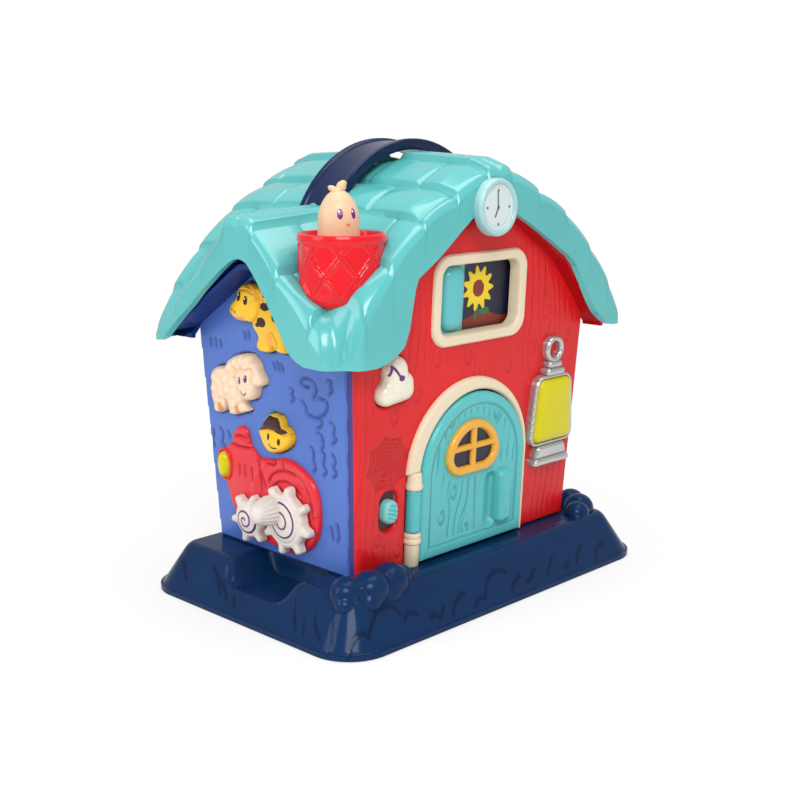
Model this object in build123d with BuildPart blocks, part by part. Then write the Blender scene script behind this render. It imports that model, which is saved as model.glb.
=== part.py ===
from build123d import *
import os
from math import atan2, cos, degrees, radians, sin, sqrt

# Musical barn toy, in millimetres
# +X to the right along the front, +Y to the back, +Z up, origin under the middle of the base

# Walls, clearances and overruns shared by all pieces
shell = 2.5
overrun = 2.0
running = 0.05
slack = 0.4
seat = 0.2

# Base tray
base_width = 270.0
base_depth = 184.0
base_corner = 26.0
base_height = 28.0
base_lip = 3.0
lip_ledge = 1.5
base_slope = 18.0
base_top_corner = 14.0
base_edge_round = 4.0
tray_wall = 3.0

# Hand scoop beside the crank, in the left side of the base
scoop_width = 52.0
scoop_back = -4.0
scoop_floor = 15.0

# Bush lumps at the front corners of the base, as shares of its half width and half depth
bush_radius = 9.5
bush_shares = ((-0.80, -0.70, 0.95), (-0.70, -0.745, 1.05), (-0.60, -0.735, 0.95), (-0.52, -0.72, 0.75),
               (0.72, -0.715, 0.80), (0.79, -0.64, 1.00), (0.825, -0.52, 0.95), (0.83, -0.41, 0.75))

# House walls, which lean outward going up
house_width = 186.0
house_depth = 125.0
house_shift = 6.5
wall_lean = 3.0
eave_height = 153.0
wall_notch_rise = 2.0

# Roof, a tiled main gable crossed by a dormer gable
roof_half_width = 124.0
roof_rise = 101.0
roof_half_run = 83.5
roof_wall = 3.0
tile_step = 2.5
eave_skirt = 20.0
main_row_shares = ((0.08, 0.98), (0.29, 0.86), (0.50, 0.73), (0.70, 0.52), (0.86, 0.30), (1.00, 0.00))
main_ridge_shares = ((1.0, 0.0), (0.81, 0.61), (0.0, 1.0))
main_ridge_lift = 9.0
dormer_half_depth = 84.5
dormer_rise = 73.0
dormer_half_run = 122.0
dormer_row_shares = ((0.095, 0.985), (0.38, 0.665), (0.69, 0.345), (1.00, 0.00))
dormer_ridge_shares = ((1.0, 0.0), (0.61, 0.47), (0.0, 1.0))
dormer_ridge_lift = 36.0

# Gable openings inside the fascias
gable_half = 106.0
gable_rise = 88.0
gable_shares = ((0.64, 0.515), (1.0, 0.034))
arch_half = 82.0
arch_rise = 53.0
arch_shares = ((0.53, 0.47), (0.957, 0.057))
arch_round = 14.0
soffit_wall = 2.5

# Carry handle and the finger bowl under it
handle_rise = 7.0
handle_drop = 36.0
handle_radius = 73.0
handle_thick = 5.0
handle_width = 30.0
handle_rim = 4.0
handle_rim_height = 1.5
bowl_half_length = 41.0
bowl_half_width = 25.0
bowl_depth = 20.0
lug_length = 12.0
lug_inset = 9.0
lug_width = 14.0
lug_thick = 4.0

# Clock on the front peak
clock_across = -7.0
clock_above_eave = 80.0
clock_radius = 17.5
clock_rim = 3.5
clock_thick = 6.0
clock_face_thick = 4.0

# Basket in the front left valley, and the chick that is pressed down into it
basket_x = -94.0
basket_y = -46.0
basket_radius = 24.0
basket_above_eave = 69.0
basket_tall = 39.0
basket_well = 5.0
cup_radius = 17.0
cup_deep = 31.0
cup_floor = 3.0
chick_radius = 13.0
chick_sunk = 16.0
chick_stands = 25.0
chick_tuft = 3.2
stem_radius = 4.0
stem_below = 5.0
clip_radius = 7.0
clip_thick = 2.0

# Window in the front gable, placed on the wall by its centre above the base
window_across = -2.2
window_up = 153.0
window_width = 81.0
window_height = 53.0
window_band = 6.5
window_corner = 12.0
window_proud = 3.0
window_sleeve = 6.0
sleeve_wall = 2.0
shutter_thick = 1.7
shutter_grip = 21.0
shutter_grip_proud = 4.5
shutter_grip_corner = 6.0
shutter_rest = 6.5
shutter_length = 68.0
shutter_corner = 8.0
track_bar = 4.0
track_left = 44.0
track_right = 40.0
track_lip = 1.5
track_reach = 3.0
card_thick = 1.4

# Door and its arched frame
door_across = -2.5
door_share = 0.48925
door_spring = 51.5
door_gap = 0.8
door_sill = 1.5
door_back = 1.5
door_front = 4.5
frame_shift = 3.5
frame_band = 7.0
frame_spring = 53.5
frame_proud = 3.0
frame_lift = 0.4
hinge_set = 3.8
hinge_out = 0.5
barrel_radius = 4.5
pin_radius = 1.6
pin_lap = 8.0
knuckle_gap = 0.3
knuckle_low = 21.0
knuckle_high = 46.0
barrel_top = 55.0
swing_top = 76.0
pane_shift = 4.5
pane_up = 65.0
pane_share = 0.5165
pane_height = 30.0
pane_band = 6.0
pane_bar = 4.0
pane_proud = 2.0
grip_share = 0.58242
grip_up = 28.0
grip_width = 10.0
grip_height = 33.0
grip_proud = 5.0
hollow_width = 11.0
hollow_depth = 3.5
grip_round = 3.0
pane_plug = 3.0
room_depth = 42.0
room_wall = 2.0
room_height = 98.0
room_inset = 4.0
room_spread = 0.5

# Bell button and slide switch on the front wall
button_travel = 3.0
button_flange = 1.5
button_lip = 1.6
bell_share = 0.76344
bell_up = 112.5
bell_width = 27.0
bell_height = 28.0
bell_proud = 6.0
bell_post = 19.0
bell_shares = ((0.0, 0.16, 0.0, 0.16, 0.34), (-0.24, -0.24, 0.24, -0.24, 0.24),
               (0.0, -0.38, 0.0, -0.38, 0.12))
switch_share = 0.76344
switch_up = 37.0
switch_width = 13.5
switch_height = 23.0
switch_corner = 2.0
switch_depth = 9.0
thumb_width = 10.5
thumb_height = 13.0
thumb_proud = 3.0
thumb_ribs = 5
thumb_rib = 1.0
thumb_lip = 1.2
thumb_lip_thick = 2.0
switch_wall = 2.0

# Lantern on the front wall
lantern_share = 0.73656
lens_up = 75.5
lens_top_share = 0.32258
lens_bottom_share = 0.4086
lens_height = 40.0
lens_proud = 9.0
lens_wall = 2.0
lantern_band = 2.5
lantern_band_proud = 5.5
neck_width = 15.0
neck_height = 8.0
neck_proud = 6.0
ring_radius = 6.8
ring_wire = 3.4
foot_top_share = 0.27957
foot_bottom_share = 0.33333
foot_height = 12.0
foot_proud = 7.0

# Lamps behind the lantern and the headlamp
lamp_radius = 2.5
lamp_flange = 3.4
lamp_flange_thick = 1.0
lamp_tip = 2.0
lamp_tail = 8.0

# Animal and farmer buttons on the left wall, placed towards the front and up from the base
cow_across = -5.0
cow_above_eave = 15.0
cow_width = 55.0
cow_height = 42.0
cow_shares = ((-0.31, 0.17, -0.28, 0.21, 0.22), (-0.37, 0.0, -0.34, 0.0, 0.17),
              (-0.14, 0.30, -0.10, 0.26, 0.14), (-0.08, 0.08, 0.22, 0.06, 0.28),
              (-0.07, -0.10, -0.07, -0.30, 0.13), (0.27, -0.05, 0.27, -0.36, 0.14))
sheep_across = -28.0
sheep_up = 100.5
sheep_width = 56.0
sheep_height = 39.0
sheep_shares = ((-0.26, 0.02, -0.26, 0.02, 0.35), (-0.06, 0.06, 0.02, 0.02, 0.36),
                (0.17, 0.18, 0.15, 0.04, 0.32), (0.30, 0.08, 0.40, 0.09, 0.12),
                (-0.32, -0.22, -0.32, -0.36, 0.14), (-0.05, -0.24, -0.02, -0.36, 0.15))
farmer_across = 3.5
farmer_up = 75.5
farmer_width = 35.0
farmer_height = 23.0
farmer_shares = ((-0.14, -0.10, 0.20, -0.12, 0.38), (-0.39, 0.16, 0.30, 0.10, 0.16),
                 (-0.10, 0.26, 0.10, 0.26, 0.24),
                 (0.38, 0.02, 0.38, -0.02, 0.20))
animal_proud = 8.0
pad_radius = 4.0
pad_height = 2.0
board_thick = 1.6
board_margin = 7.0
animal_board_back = 45.0
animal_board_front = 31.0
animal_board_low = 66.0
animal_board_high = 132.0
animal_post_inset = 3.0
post_radius = 2.5

# Tractor panel, headlamp, gears and crank on the left wall
tractor_thick = 3.0
fender_across = 5.5
fender_up = 33.5
fender_radius = 30.0
bonnet_across = -31.0
bonnet_up = 38.5
bonnet_width = 38.0
bonnet_height = 42.0
bonnet_corner = 7.0
stack_across = -31.0
stack_radius = 6.5
stack_top = 75.0
lamp_across = -47.5
lamp_up = 50.0
headlamp_width = 10.0
headlamp_height = 17.0
headlamp_proud = 7.5
gear_across = 11.0
gear_up = 27.2
gear_distance = 33.5
gear_line = 190.3
gear_stand = 1.0
gear_thick = 6.0
gear_dome = 2.5
large_teeth = 8
large_root = 16.4
large_tip = 21.5
large_tooth = 6.0
small_teeth = 6
small_root = 11.4
small_tip = 16.2
small_tooth = 5.6
hub_share = 0.72
axle_radius = 3.0
axle_flange = 6.0
axle_flange_thick = 2.0
axle_head_gap = 0.8
crank_orbit = 10.3
crank_turn = 146.8
knob_radius = 7.5
knob_length = 7.0
knob_tip_radius = 5.6
knob_tip = 4.5
knob_stud = 3.0
knob_stud_depth = 4.0

# Speaker behind the right wall
speaker_up = 62.0
speaker_radius = 20.0
speaker_rim = 3.0
magnet_radius = 10.0
magnet_depth = 12.0
clamp_radius = 25.0
clamp_lip = 2.0
clamp_thick = 1.5
grille_slots = 7
grille_slot = 2.4
grille_pitch = 4.6

# Main board on the back wall
board_width = 80.0
board_height = 52.0
board_up = 66.0
board_stand = 8.0
chip_width = 14.0
chip_thick = 2.5

# Base plate, battery bay and screws
plate_thick = 2.5
plate_lift = 0.8
bay_x = 40.0
bay_wall = 2.0
cell_radius = 7.1
cell_length = 50.0
cell_nub = 2.7
cell_nub_length = 1.2
cell_count = 3
cell_pitch = 15.0
contact_thick = 0.6
contact_size = 10.0
bay_spare = 3.2
cover_lap = 3.0
screw_radius = 1.5
screw_head = 3.0
screw_head_thick = 1.8
screw_length = 9.0
screw_inset_x = 27.0
screw_inset_y = 26.0
boss_radius = 4.5


# Values worked out from the sizes above
lean_cos = cos(radians(wall_lean))
lean_sin = sin(radians(wall_lean))
front_y = house_shift - house_depth / 2
back_y = house_shift + house_depth / 2
side_x = house_width / 2
screw_x = base_width / 2 - screw_inset_x
screw_y = base_depth / 2 - screw_inset_y
door_half_width = door_share * side_x
frame_across = door_across - frame_shift
frame_radius = door_half_width + frame_band
hinge_across = door_across - door_half_width - hinge_set
pane_across = door_across - pane_shift
pane_width = 2 * pane_share * door_half_width
grip_across = door_across + grip_share * door_half_width
bell_across = -bell_share * side_x
switch_across = -switch_share * side_x
lantern_across = lantern_share * side_x
lens_top = lens_top_share * side_x
lens_bottom = lens_bottom_share * side_x
foot_top = foot_top_share * side_x
foot_bottom = foot_bottom_share * side_x
cow_up = eave_height - base_height + cow_above_eave
ridge_height = eave_height + roof_rise + main_ridge_lift
handle_top = ridge_height + handle_rise
handle_foot = handle_top - handle_drop
bowl_floor = ridge_height - bowl_depth
clock_height = eave_height + clock_above_eave
basket_rim = eave_height + basket_above_eave
basket_bottom = basket_rim - basket_tall
cup_bottom = basket_rim - cup_deep
chick_bottom = basket_rim - chick_sunk
chick_top = basket_rim + chick_stands
stem_end = cup_bottom - stem_below
roof_front = house_shift - roof_half_run
gear_back = tractor_thick + gear_stand
gear_face = gear_back + gear_thick
small_across = gear_across + gear_distance * cos(radians(gear_line))
small_up = gear_up + gear_distance * sin(radians(gear_line))
pad_top = shell + seat + button_flange + button_travel + slack
board_out = pad_top + pad_height
sleeve_width = window_width - 2 * window_band
sleeve_height = window_height - 2 * window_band
shutter_front = window_sleeve + slack
shutter_width = sleeve_width + 2 * sleeve_wall
shutter_height = sleeve_height + 2 * sleeve_wall
track_out = shutter_front + shutter_thick + slack
plate_top = plate_lift + plate_thick
lean_run = (eave_height - base_height) * lean_sin / lean_cos
soffit_end = front_y - lean_run + shell

# Seats of the four walls: across runs to the right seen from outside, up runs along the wall
front_seat = Plane(origin=(0, front_y, base_height), x_dir=(1, 0, 0), z_dir=(0, -lean_cos, -lean_sin))
back_seat = Plane(origin=(0, back_y, base_height), x_dir=(-1, 0, 0), z_dir=(0, lean_cos, -lean_sin))
left_seat = Plane(origin=(-side_x, house_shift, base_height), x_dir=(0, -1, 0),
                  z_dir=(-lean_cos, 0, -lean_sin))
right_seat = Plane(origin=(side_x, house_shift, base_height), x_dir=(0, 1, 0), z_dir=(lean_cos, 0, -lean_sin))
front_outward = Axis(front_seat.origin, front_seat.z_dir)
left_outward = Axis(left_seat.origin, left_seat.z_dir)


def wall_rise(height):
    # distance up a leaning wall to a height above the floor
    return (height - base_height) / lean_cos


def capsules(shares, width, height, grow):
    # outline made of round-ended bars, each given by its two ends and its radius
    for x1, y1, x2, y2, radius_share in shares:
        reach_x = (x2 - x1) * width
        reach_y = (y2 - y1) * height
        radius = radius_share * height + grow
        length = sqrt(reach_x ** 2 + reach_y ** 2)
        with Locations(((x1 + x2) / 2 * width, (y1 + y2) / 2 * height)):
            Circle(radius)
            if length > 0:
                SlotCenterToCenter(length, 2 * radius, rotation=degrees(atan2(reach_y, reach_x)))


def gear_outline(teeth, root, tip, tooth, first):
    # round-ended teeth on a disc
    Circle(root)
    with PolarLocations(tip / 2, teeth, start_angle=first):
        SlotOverall(tip, tooth)


def gable_outline(half, rise, shares, inset, base, scale):
    # outline under a gable, drawn in by inset, with its foot at base
    top = (eave_height - base + rise) / scale - inset
    right_side = [(0, top)]
    for across_share, up_share in shares:
        across = across_share * half - inset
        right_side.append((across, (eave_height - base + up_share * rise) / scale - inset / 2))
    right_side.append((right_side[-1][0], -base_height))
    left_side = [(-across, up) for across, up in reversed(right_side[1:])]
    Polygon(*right_side, *left_side, align=None)


def tile_outline(half, rise, shares, lift, inset):
    # section across a gable: stepped tile rows outside, plain slopes where it is drawn in
    drop = inset + inset / 3
    right_side = [(0, eave_height + rise + lift - drop)]
    for across_share, up_share in shares:
        across = across_share * (half - inset)
        top = eave_height + up_share * rise + lift - drop
        if inset == 0:
            right_side.append((across, top))
        right_side.append((across, top - tile_step))
    right_side.append((half - inset, eave_height - eave_skirt - drop))
    left_side = [(-across, up) for across, up in reversed(right_side[1:])]
    Polygon(*right_side, *left_side, align=None)


def gable_runs(half_run, ridge_shares, ridge_lift, inset):
    # stations along a ridge and how far the section is lifted there
    half = [(share * (half_run - inset), lift_share * ridge_lift) for share, lift_share in ridge_shares]
    stations = [(-run, lift) for run, lift in half] + [(run, lift) for run, lift in reversed(half[:-1])]
    return list(zip(stations[:-1], stations[1:]))


def roof_block(inset):
    # main gable along Y crossed by the dormer gable along X, as one solid
    with BuildPart(mode=Mode.PRIVATE) as block:
        for (run, lift), (next_run, next_lift) in gable_runs(roof_half_run, main_ridge_shares,
                                                             main_ridge_lift, inset):
            station = Plane(origin=(0, house_shift + run, 0), x_dir=(1, 0, 0), z_dir=(0, -1, 0))
            step = Vector(0, next_run - run, next_lift - lift)
            with BuildSketch(station):
                tile_outline(roof_half_width, roof_rise, main_row_shares, lift, inset)
            extrude(amount=step.length, dir=step)
        for (run, lift), (next_run, next_lift) in gable_runs(
                dormer_half_run, dormer_ridge_shares, dormer_ridge_lift, inset):
            station = Plane(origin=(run, house_shift, 0), x_dir=(0, 1, 0), z_dir=(1, 0, 0))
            step = Vector(next_run - run, 0, next_lift - lift)
            with BuildSketch(station):
                tile_outline(dormer_half_depth, dormer_rise, dormer_row_shares, lift, inset)
            extrude(amount=step.length, dir=step)
    return block.part


def write(name, piece):
    piece.part.label = name
    export_step(piece.part, "parts/" + name + ".step")


os.makedirs("parts", exist_ok=True)


# Base tray: sloping skirt, hollow from below, with the scoop, the bush lumps and four screw bosses
top_width = base_width - 2 * base_slope
top_depth = base_depth - 2 * base_slope
scoop_left = base_width / 2
scoop_right = side_x - shell - (base_height - scoop_floor) * lean_sin / lean_cos - seat

with BuildPart() as tray_hollow:
    with BuildSketch(Plane.XY.offset(-overrun)):
        RectangleRounded(base_width - 2 * tray_wall, base_depth - 2 * tray_wall, base_corner - tray_wall)
    extrude(amount=overrun + base_lip)
    with BuildSketch(Plane.XY.offset(base_lip)):
        RectangleRounded(base_width - 2 * tray_wall - 2 * lip_ledge,
                         base_depth - 2 * tray_wall - 2 * lip_ledge,
                         base_corner - tray_wall)
    with BuildSketch(Plane.XY.offset(base_height - tray_wall)):
        RectangleRounded(top_width - 2 * tray_wall, top_depth - 2 * tray_wall, base_top_corner - tray_wall)
    loft(ruled=True)
    with BuildSketch(Plane.XY.offset(scoop_floor - tray_wall)):
        with Locations((-(scoop_left + scoop_right) / 2, scoop_back)):
            Rectangle(scoop_left - scoop_right + 2 * tray_wall, scoop_width + 2 * tray_wall)
    extrude(amount=base_height, mode=Mode.SUBTRACT)
    with BuildSketch(Plane.XY.offset(plate_top)):
        with GridLocations(2 * screw_x, 2 * screw_y, 2, 2):
            Circle(boss_radius)
    extrude(amount=base_height, mode=Mode.SUBTRACT)

with BuildPart() as base_tray:
    with BuildSketch():
        RectangleRounded(base_width, base_depth, base_corner)
    extrude(amount=base_lip)
    with BuildSketch(Plane.XY.offset(base_lip)):
        RectangleRounded(base_width - 2 * lip_ledge, base_depth - 2 * lip_ledge, base_corner)
    with BuildSketch(Plane.XY.offset(base_height)):
        RectangleRounded(top_width, top_depth, base_top_corner)
    loft(ruled=True)
    fillet(base_tray.edges().group_by(Axis.Z)[-1], base_edge_round)
    with BuildSketch(Plane.XY.offset(scoop_floor)):
        with Locations((-(scoop_left + scoop_right) / 2 - overrun / 2, scoop_back)):
            Rectangle(scoop_left - scoop_right + overrun, scoop_width)
    extrude(amount=base_height, mode=Mode.SUBTRACT)
    for x_share, y_share, size_share in bush_shares:
        with Locations((x_share * base_width / 2, y_share * base_depth / 2, base_height)):
            Sphere(bush_radius * size_share)
    add(tray_hollow.part, mode=Mode.SUBTRACT)
    with BuildSketch(Plane.XY.offset(plate_top)):
        with GridLocations(2 * screw_x, 2 * screw_y, 2, 2):
            Circle(screw_radius + running)
    extrude(amount=screw_length, mode=Mode.SUBTRACT)
write("base_tray", base_tray)


# Base plate with the battery bay on it, open downward for the battery cover
bay_length = cell_length + cell_nub_length + 2 * contact_thick + bay_spare
bay_width = cell_pitch * cell_count + bay_spare / 2
bay_height = 2 * cell_radius + bay_spare / 4
cover_length = bay_length + 2 * cover_lap
cover_width = bay_width + 2 * cover_lap

with BuildPart() as base_plate:
    with BuildSketch(Plane.XY.offset(plate_lift)):
        RectangleRounded(base_width - 2 * tray_wall - 2 * lip_ledge - 2 * slack,
                         base_depth - 2 * tray_wall - 2 * lip_ledge - 2 * slack, base_corner - tray_wall)
    extrude(amount=plate_thick)
    with BuildSketch(Plane.XY.offset(plate_top)):
        with Locations((bay_x, 0)):
            Rectangle(bay_length + 2 * bay_wall, bay_width + 2 * bay_wall)
    extrude(amount=bay_height + bay_wall)
    with BuildSketch(Plane.XY.offset(plate_lift + plate_thick / 2)):
        with Locations((bay_x, 0)):
            Rectangle(bay_length, bay_width)
    extrude(amount=plate_thick / 2 + bay_height, mode=Mode.SUBTRACT)
    with BuildSketch(Plane.XY.offset(plate_lift)):
        with Locations((bay_x, 0)):
            Rectangle(cover_length + 2 * seat, cover_width + 2 * seat)
    extrude(amount=plate_thick / 2, mode=Mode.SUBTRACT)
    with BuildSketch(Plane.XY.offset(plate_lift)):
        with GridLocations(2 * screw_x, 2 * screw_y, 2, 2):
            Circle(screw_radius + running)
        with Locations((bay_x + bay_length / 2 + cover_lap / 2 + bay_wall / 2, 0)):
            Circle(screw_radius + running)
    extrude(amount=bay_height, mode=Mode.SUBTRACT)
    with BuildSketch(Plane.XY.offset(plate_lift)):
        with GridLocations(2 * screw_x, 2 * screw_y, 2, 2):
            Circle(screw_head + slack)
    extrude(amount=screw_head_thick - plate_thick / 4, mode=Mode.SUBTRACT)
write("base_plate", base_plate)

with BuildPart() as battery_door:
    with BuildSketch(Plane.XY.offset(plate_lift)):
        with Locations((bay_x, 0)):
            Rectangle(cover_length, cover_width)
        with Locations((bay_x + bay_length / 2 + cover_lap / 2 + bay_wall / 2, 0)):
            Circle(screw_radius + running, mode=Mode.SUBTRACT)
    extrude(amount=plate_thick / 2)
write("battery_door", battery_door)

with BuildPart() as battery_door_screw:
    with BuildSketch(Plane.XY.offset(plate_lift)):
        with Locations((bay_x + bay_length / 2 + cover_lap / 2 + bay_wall / 2, 0)):
            Circle(screw_head / 2 + screw_radius / 2)
    extrude(amount=-plate_lift / 2)
    with BuildSketch(Plane.XY.offset(plate_lift)):
        with Locations((bay_x + bay_length / 2 + cover_lap / 2 + bay_wall / 2, 0)):
            Circle(screw_radius)
    extrude(amount=screw_length / 2)
write("battery_door_screw", battery_door_screw)

cell_axis_height = plate_lift + plate_thick / 2 + cell_radius + seat / 2
cell_start = bay_x - cell_length / 2 - cell_nub_length / 2

with BuildPart() as batteries:
    for row in range(cell_count):
        row_y = (row - (cell_count - 1) / 2) * cell_pitch
        cell_end = Plane(origin=(cell_start, row_y, cell_axis_height), x_dir=(0, 1, 0), z_dir=(1, 0, 0))
        with BuildSketch(cell_end):
            Circle(cell_radius)
        extrude(amount=cell_length)
        with BuildSketch(cell_end.offset(cell_length)):
            Circle(cell_nub)
        extrude(amount=cell_nub_length)
write("batteries", batteries)

with BuildPart() as battery_contacts:
    for row in range(cell_count):
        row_y = (row - (cell_count - 1) / 2) * cell_pitch
        near_gap = bay_length / 2 - cell_length / 2 - cell_nub_length / 2
        for start in (bay_x - bay_length / 2, cell_start + cell_length + cell_nub_length):
            with BuildSketch(Plane(origin=(start, row_y, cell_axis_height), x_dir=(0, 1, 0),
                                   z_dir=(1, 0, 0))):
                Rectangle(contact_size, contact_size)
            extrude(amount=near_gap)
write("battery_contacts", battery_contacts)

with BuildPart() as base_screws:
    with BuildSketch(Plane.XY.offset(plate_lift)):
        with GridLocations(2 * screw_x, 2 * screw_y, 2, 2):
            Circle(screw_head)
    extrude(amount=screw_head_thick - plate_thick / 4)
    with BuildSketch(Plane.XY.offset(plate_lift)):
        with GridLocations(2 * screw_x, 2 * screw_y, 2, 2):
            Circle(screw_radius)
    extrude(amount=screw_length)
write("base_screws", base_screws)


def wall_face(half_width, half, rise, shares, apex_round):
    # leaning panel that widens going up and ends under the gable
    height = wall_rise(eave_height + rise)
    spread = height * lean_sin
    Polygon((-half_width, 0), (half_width, 0), (half_width + spread, height),
            (-half_width - spread, height), align=None)
    with BuildSketch(mode=Mode.PRIVATE) as gable:
        gable_outline(half, rise, shares, soffit_wall + seat, base_height, lean_cos)
        if apex_round > 0:
            fillet(gable.vertices().group_by(Axis.Y)[-1], apex_round)
    add(gable.sketch, mode=Mode.INTERSECT)


def arch_face(across, half_width, spring, foot):
    # round-headed outline of a door
    with BuildSketch(mode=Mode.PRIVATE) as arch:
        with Locations((across, spring)):
            Circle(half_width)
        with Locations((across, spring - half_width / 2)):
            Rectangle(2 * half_width, half_width, mode=Mode.SUBTRACT)
        with Locations((across, (spring + foot) / 2)):
            Rectangle(2 * half_width, spring - foot)
    add(arch.sketch)


def through(plane):
    # plane in front of a wall from which a cut runs right through it
    return plane.offset(overrun)


cut_depth = -shell - 2 * overrun

# Front wall with the door, window, bell, switch and lamp openings
with BuildPart() as front_wall:
    with BuildSketch(front_seat):
        wall_face(side_x, gable_half, gable_rise, gable_shares, 0)
    extrude(amount=-shell)
    with BuildSketch(through(front_seat)):
        arch_face(door_across, door_half_width + door_gap, door_spring, -overrun)
        with Locations((hinge_across, barrel_top / 2)):
            Rectangle(2 * barrel_radius + 2 * slack, barrel_top + 2 * slack)
        with Locations((window_across, window_up)):
            RectangleRounded(shutter_width + 2 * seat, shutter_height + 2 * seat, window_corner - window_band)
        with Locations((switch_across, switch_up)):
            RectangleRounded(switch_width, switch_height, switch_corner)
        with Locations((lantern_across, lens_up)):
            Circle(lamp_radius + running)
    extrude(amount=cut_depth, mode=Mode.SUBTRACT)
    with BuildSketch(through(front_seat)):
        with Locations((bell_across, bell_up)):
            capsules(bell_shares, bell_width, bell_height, slack)
    extrude(amount=cut_depth, mode=Mode.SUBTRACT)
    with BuildSketch(front_seat.offset(-shell)):
        with Locations((bell_across - bell_post, bell_up), (bell_across + bell_post, bell_up)):
            Circle(post_radius)
    extrude(amount=shell - board_out)
write("front_wall", front_wall)


def side_wall_face():
    # panel of a side wall, with its upper corners cut back to clear the front and back soffits
    half_depth = house_depth / 2
    wall_face(half_depth, arch_half, arch_rise, arch_shares, arch_round)
    height = wall_rise(eave_height + arch_rise)
    notch_foot = wall_rise(eave_height + wall_notch_rise)
    notch_start = house_shift - soffit_end - seat
    for side in (-1, 1):
        with Locations((side * (notch_start + height / 2), (height + notch_foot) / 2)):
            Rectangle(height, height - notch_foot, mode=Mode.SUBTRACT)


# Left wall with the animal, farmer, axle and lamp openings, a tab down into the scoop and board posts
animal_posts = [(across, up) for across in (animal_post_inset - animal_board_back,
                                            animal_board_front - animal_post_inset)
                for up in (animal_board_low + animal_post_inset, animal_board_high - animal_post_inset)]

with BuildPart() as left_wall:
    with BuildSketch(left_seat):
        side_wall_face()
        with Locations((house_shift - scoop_back, (scoop_floor - base_height + seat) / 2)):
            Rectangle(scoop_width - 2 * slack, base_height - scoop_floor - seat)
    extrude(amount=-shell)
    split(bisect_by=front_seat.offset(-shell), keep=Keep.BOTTOM)
    split(bisect_by=back_seat.offset(-shell), keep=Keep.BOTTOM)
    with BuildSketch(left_seat.offset(-shell)):
        with Locations(*animal_posts):
            Circle(post_radius)
    extrude(amount=shell - board_out)
    with BuildSketch(through(left_seat)):
        with Locations((cow_across, cow_up)):
            capsules(cow_shares, cow_width, cow_height, slack)
        with Locations((sheep_across, sheep_up)):
            capsules(sheep_shares, sheep_width, sheep_height, slack)
        with Locations((farmer_across, farmer_up)):
            capsules(farmer_shares, farmer_width, farmer_height, slack)
        with Locations((gear_across, gear_up), (small_across, small_up)):
            Circle(axle_radius + running)
        with Locations((lamp_across, lamp_up)):
            Circle(lamp_radius + running)
    extrude(amount=cut_depth, mode=Mode.SUBTRACT)
write("left_wall", left_wall)

# Right wall with the speaker grille
with BuildPart() as right_wall:
    with BuildSketch(right_seat):
        side_wall_face()
    extrude(amount=-shell)
    split(bisect_by=front_seat.offset(-shell), keep=Keep.BOTTOM)
    split(bisect_by=back_seat.offset(-shell), keep=Keep.BOTTOM)
    with BuildSketch(through(right_seat)):
        for slot in range(grille_slots):
            rise = (slot - (grille_slots - 1) / 2) * grille_pitch
            length = 2 * sqrt((speaker_radius - clamp_lip) ** 2 - rise ** 2) - grille_slot
            with Locations((0, speaker_up + rise)):
                SlotOverall(length, grille_slot)
    extrude(amount=cut_depth, mode=Mode.SUBTRACT)
write("right_wall", right_wall)

# Back wall with posts for the main board
board_posts = [(side * (board_width / 2 - post_radius), board_up + lift * (board_height / 2 - post_radius))
               for side in (-1, 1) for lift in (-1, 1)]

with BuildPart() as back_wall:
    with BuildSketch(back_seat):
        wall_face(side_x, gable_half, gable_rise, gable_shares, 0)
    extrude(amount=-shell)
    with BuildSketch(back_seat.offset(-shell)):
        with Locations(*board_posts):
            Circle(post_radius)
    extrude(amount=-board_stand)
write("back_wall", back_wall)


# Soffits under the roof edge, from the fascia to just past the wall
front_overhang = soffit_end - roof_front - roof_wall
side_overhang = dormer_half_run - roof_wall - side_x - lean_run + shell


def soffit(plane, half, rise, shares, apex_round, depth):
    # band that follows a gable opening, cut off at the eaves
    with BuildPart(mode=Mode.PRIVATE) as band:
        with BuildSketch(plane):
            with BuildSketch(mode=Mode.PRIVATE) as outer:
                gable_outline(half, rise, shares, 0, 0, 1)
                if apex_round > 0:
                    fillet(outer.vertices().group_by(Axis.Y)[-1], apex_round)
            with BuildSketch(mode=Mode.PRIVATE) as inner:
                gable_outline(half, rise, shares, soffit_wall, 0, 1)
                if apex_round > 0:
                    fillet(inner.vertices().group_by(Axis.Y)[-1], apex_round)
            add(outer.sketch)
            add(inner.sketch, mode=Mode.SUBTRACT)
        extrude(amount=depth)
        split(bisect_by=Plane.XY.offset(eave_height), keep=Keep.TOP)
    return band.part


front_rim = Plane(origin=(0, roof_front + roof_wall, 0), x_dir=(-1, 0, 0), z_dir=(0, 1, 0))
back_rim = Plane(origin=(0, 2 * house_shift - roof_front - roof_wall, 0), x_dir=(1, 0, 0), z_dir=(0, -1, 0))
left_rim = Plane(origin=(roof_wall - dormer_half_run, house_shift, 0), x_dir=(0, 1, 0), z_dir=(1, 0, 0))
right_rim = Plane(origin=(dormer_half_run - roof_wall, house_shift, 0), x_dir=(0, -1, 0), z_dir=(-1, 0, 0))

with BuildPart() as front_soffit:
    add(soffit(front_rim, gable_half, gable_rise, gable_shares, 0, front_overhang))
write("front_soffit", front_soffit)

with BuildPart() as back_soffit:
    add(soffit(back_rim, gable_half, gable_rise, gable_shares, 0, front_overhang))
write("back_soffit", back_soffit)

for name, rim in (("left_soffit", left_rim), ("right_soffit", right_rim)):
    with BuildPart() as side_soffit:
        add(soffit(rim, arch_half, arch_rise, arch_shares, arch_round, side_overhang))
        split(bisect_by=Plane.XZ.offset(-soffit_end - seat), keep=Keep.BOTTOM)
        split(bisect_by=Plane.XZ.offset(soffit_end + seat - 2 * house_shift), keep=Keep.TOP)
    write(name, side_soffit)


# Carry handle: a strap arch with raised rims, its legs passing into the roof
arch_centre = handle_top - handle_rim_height - handle_radius


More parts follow.
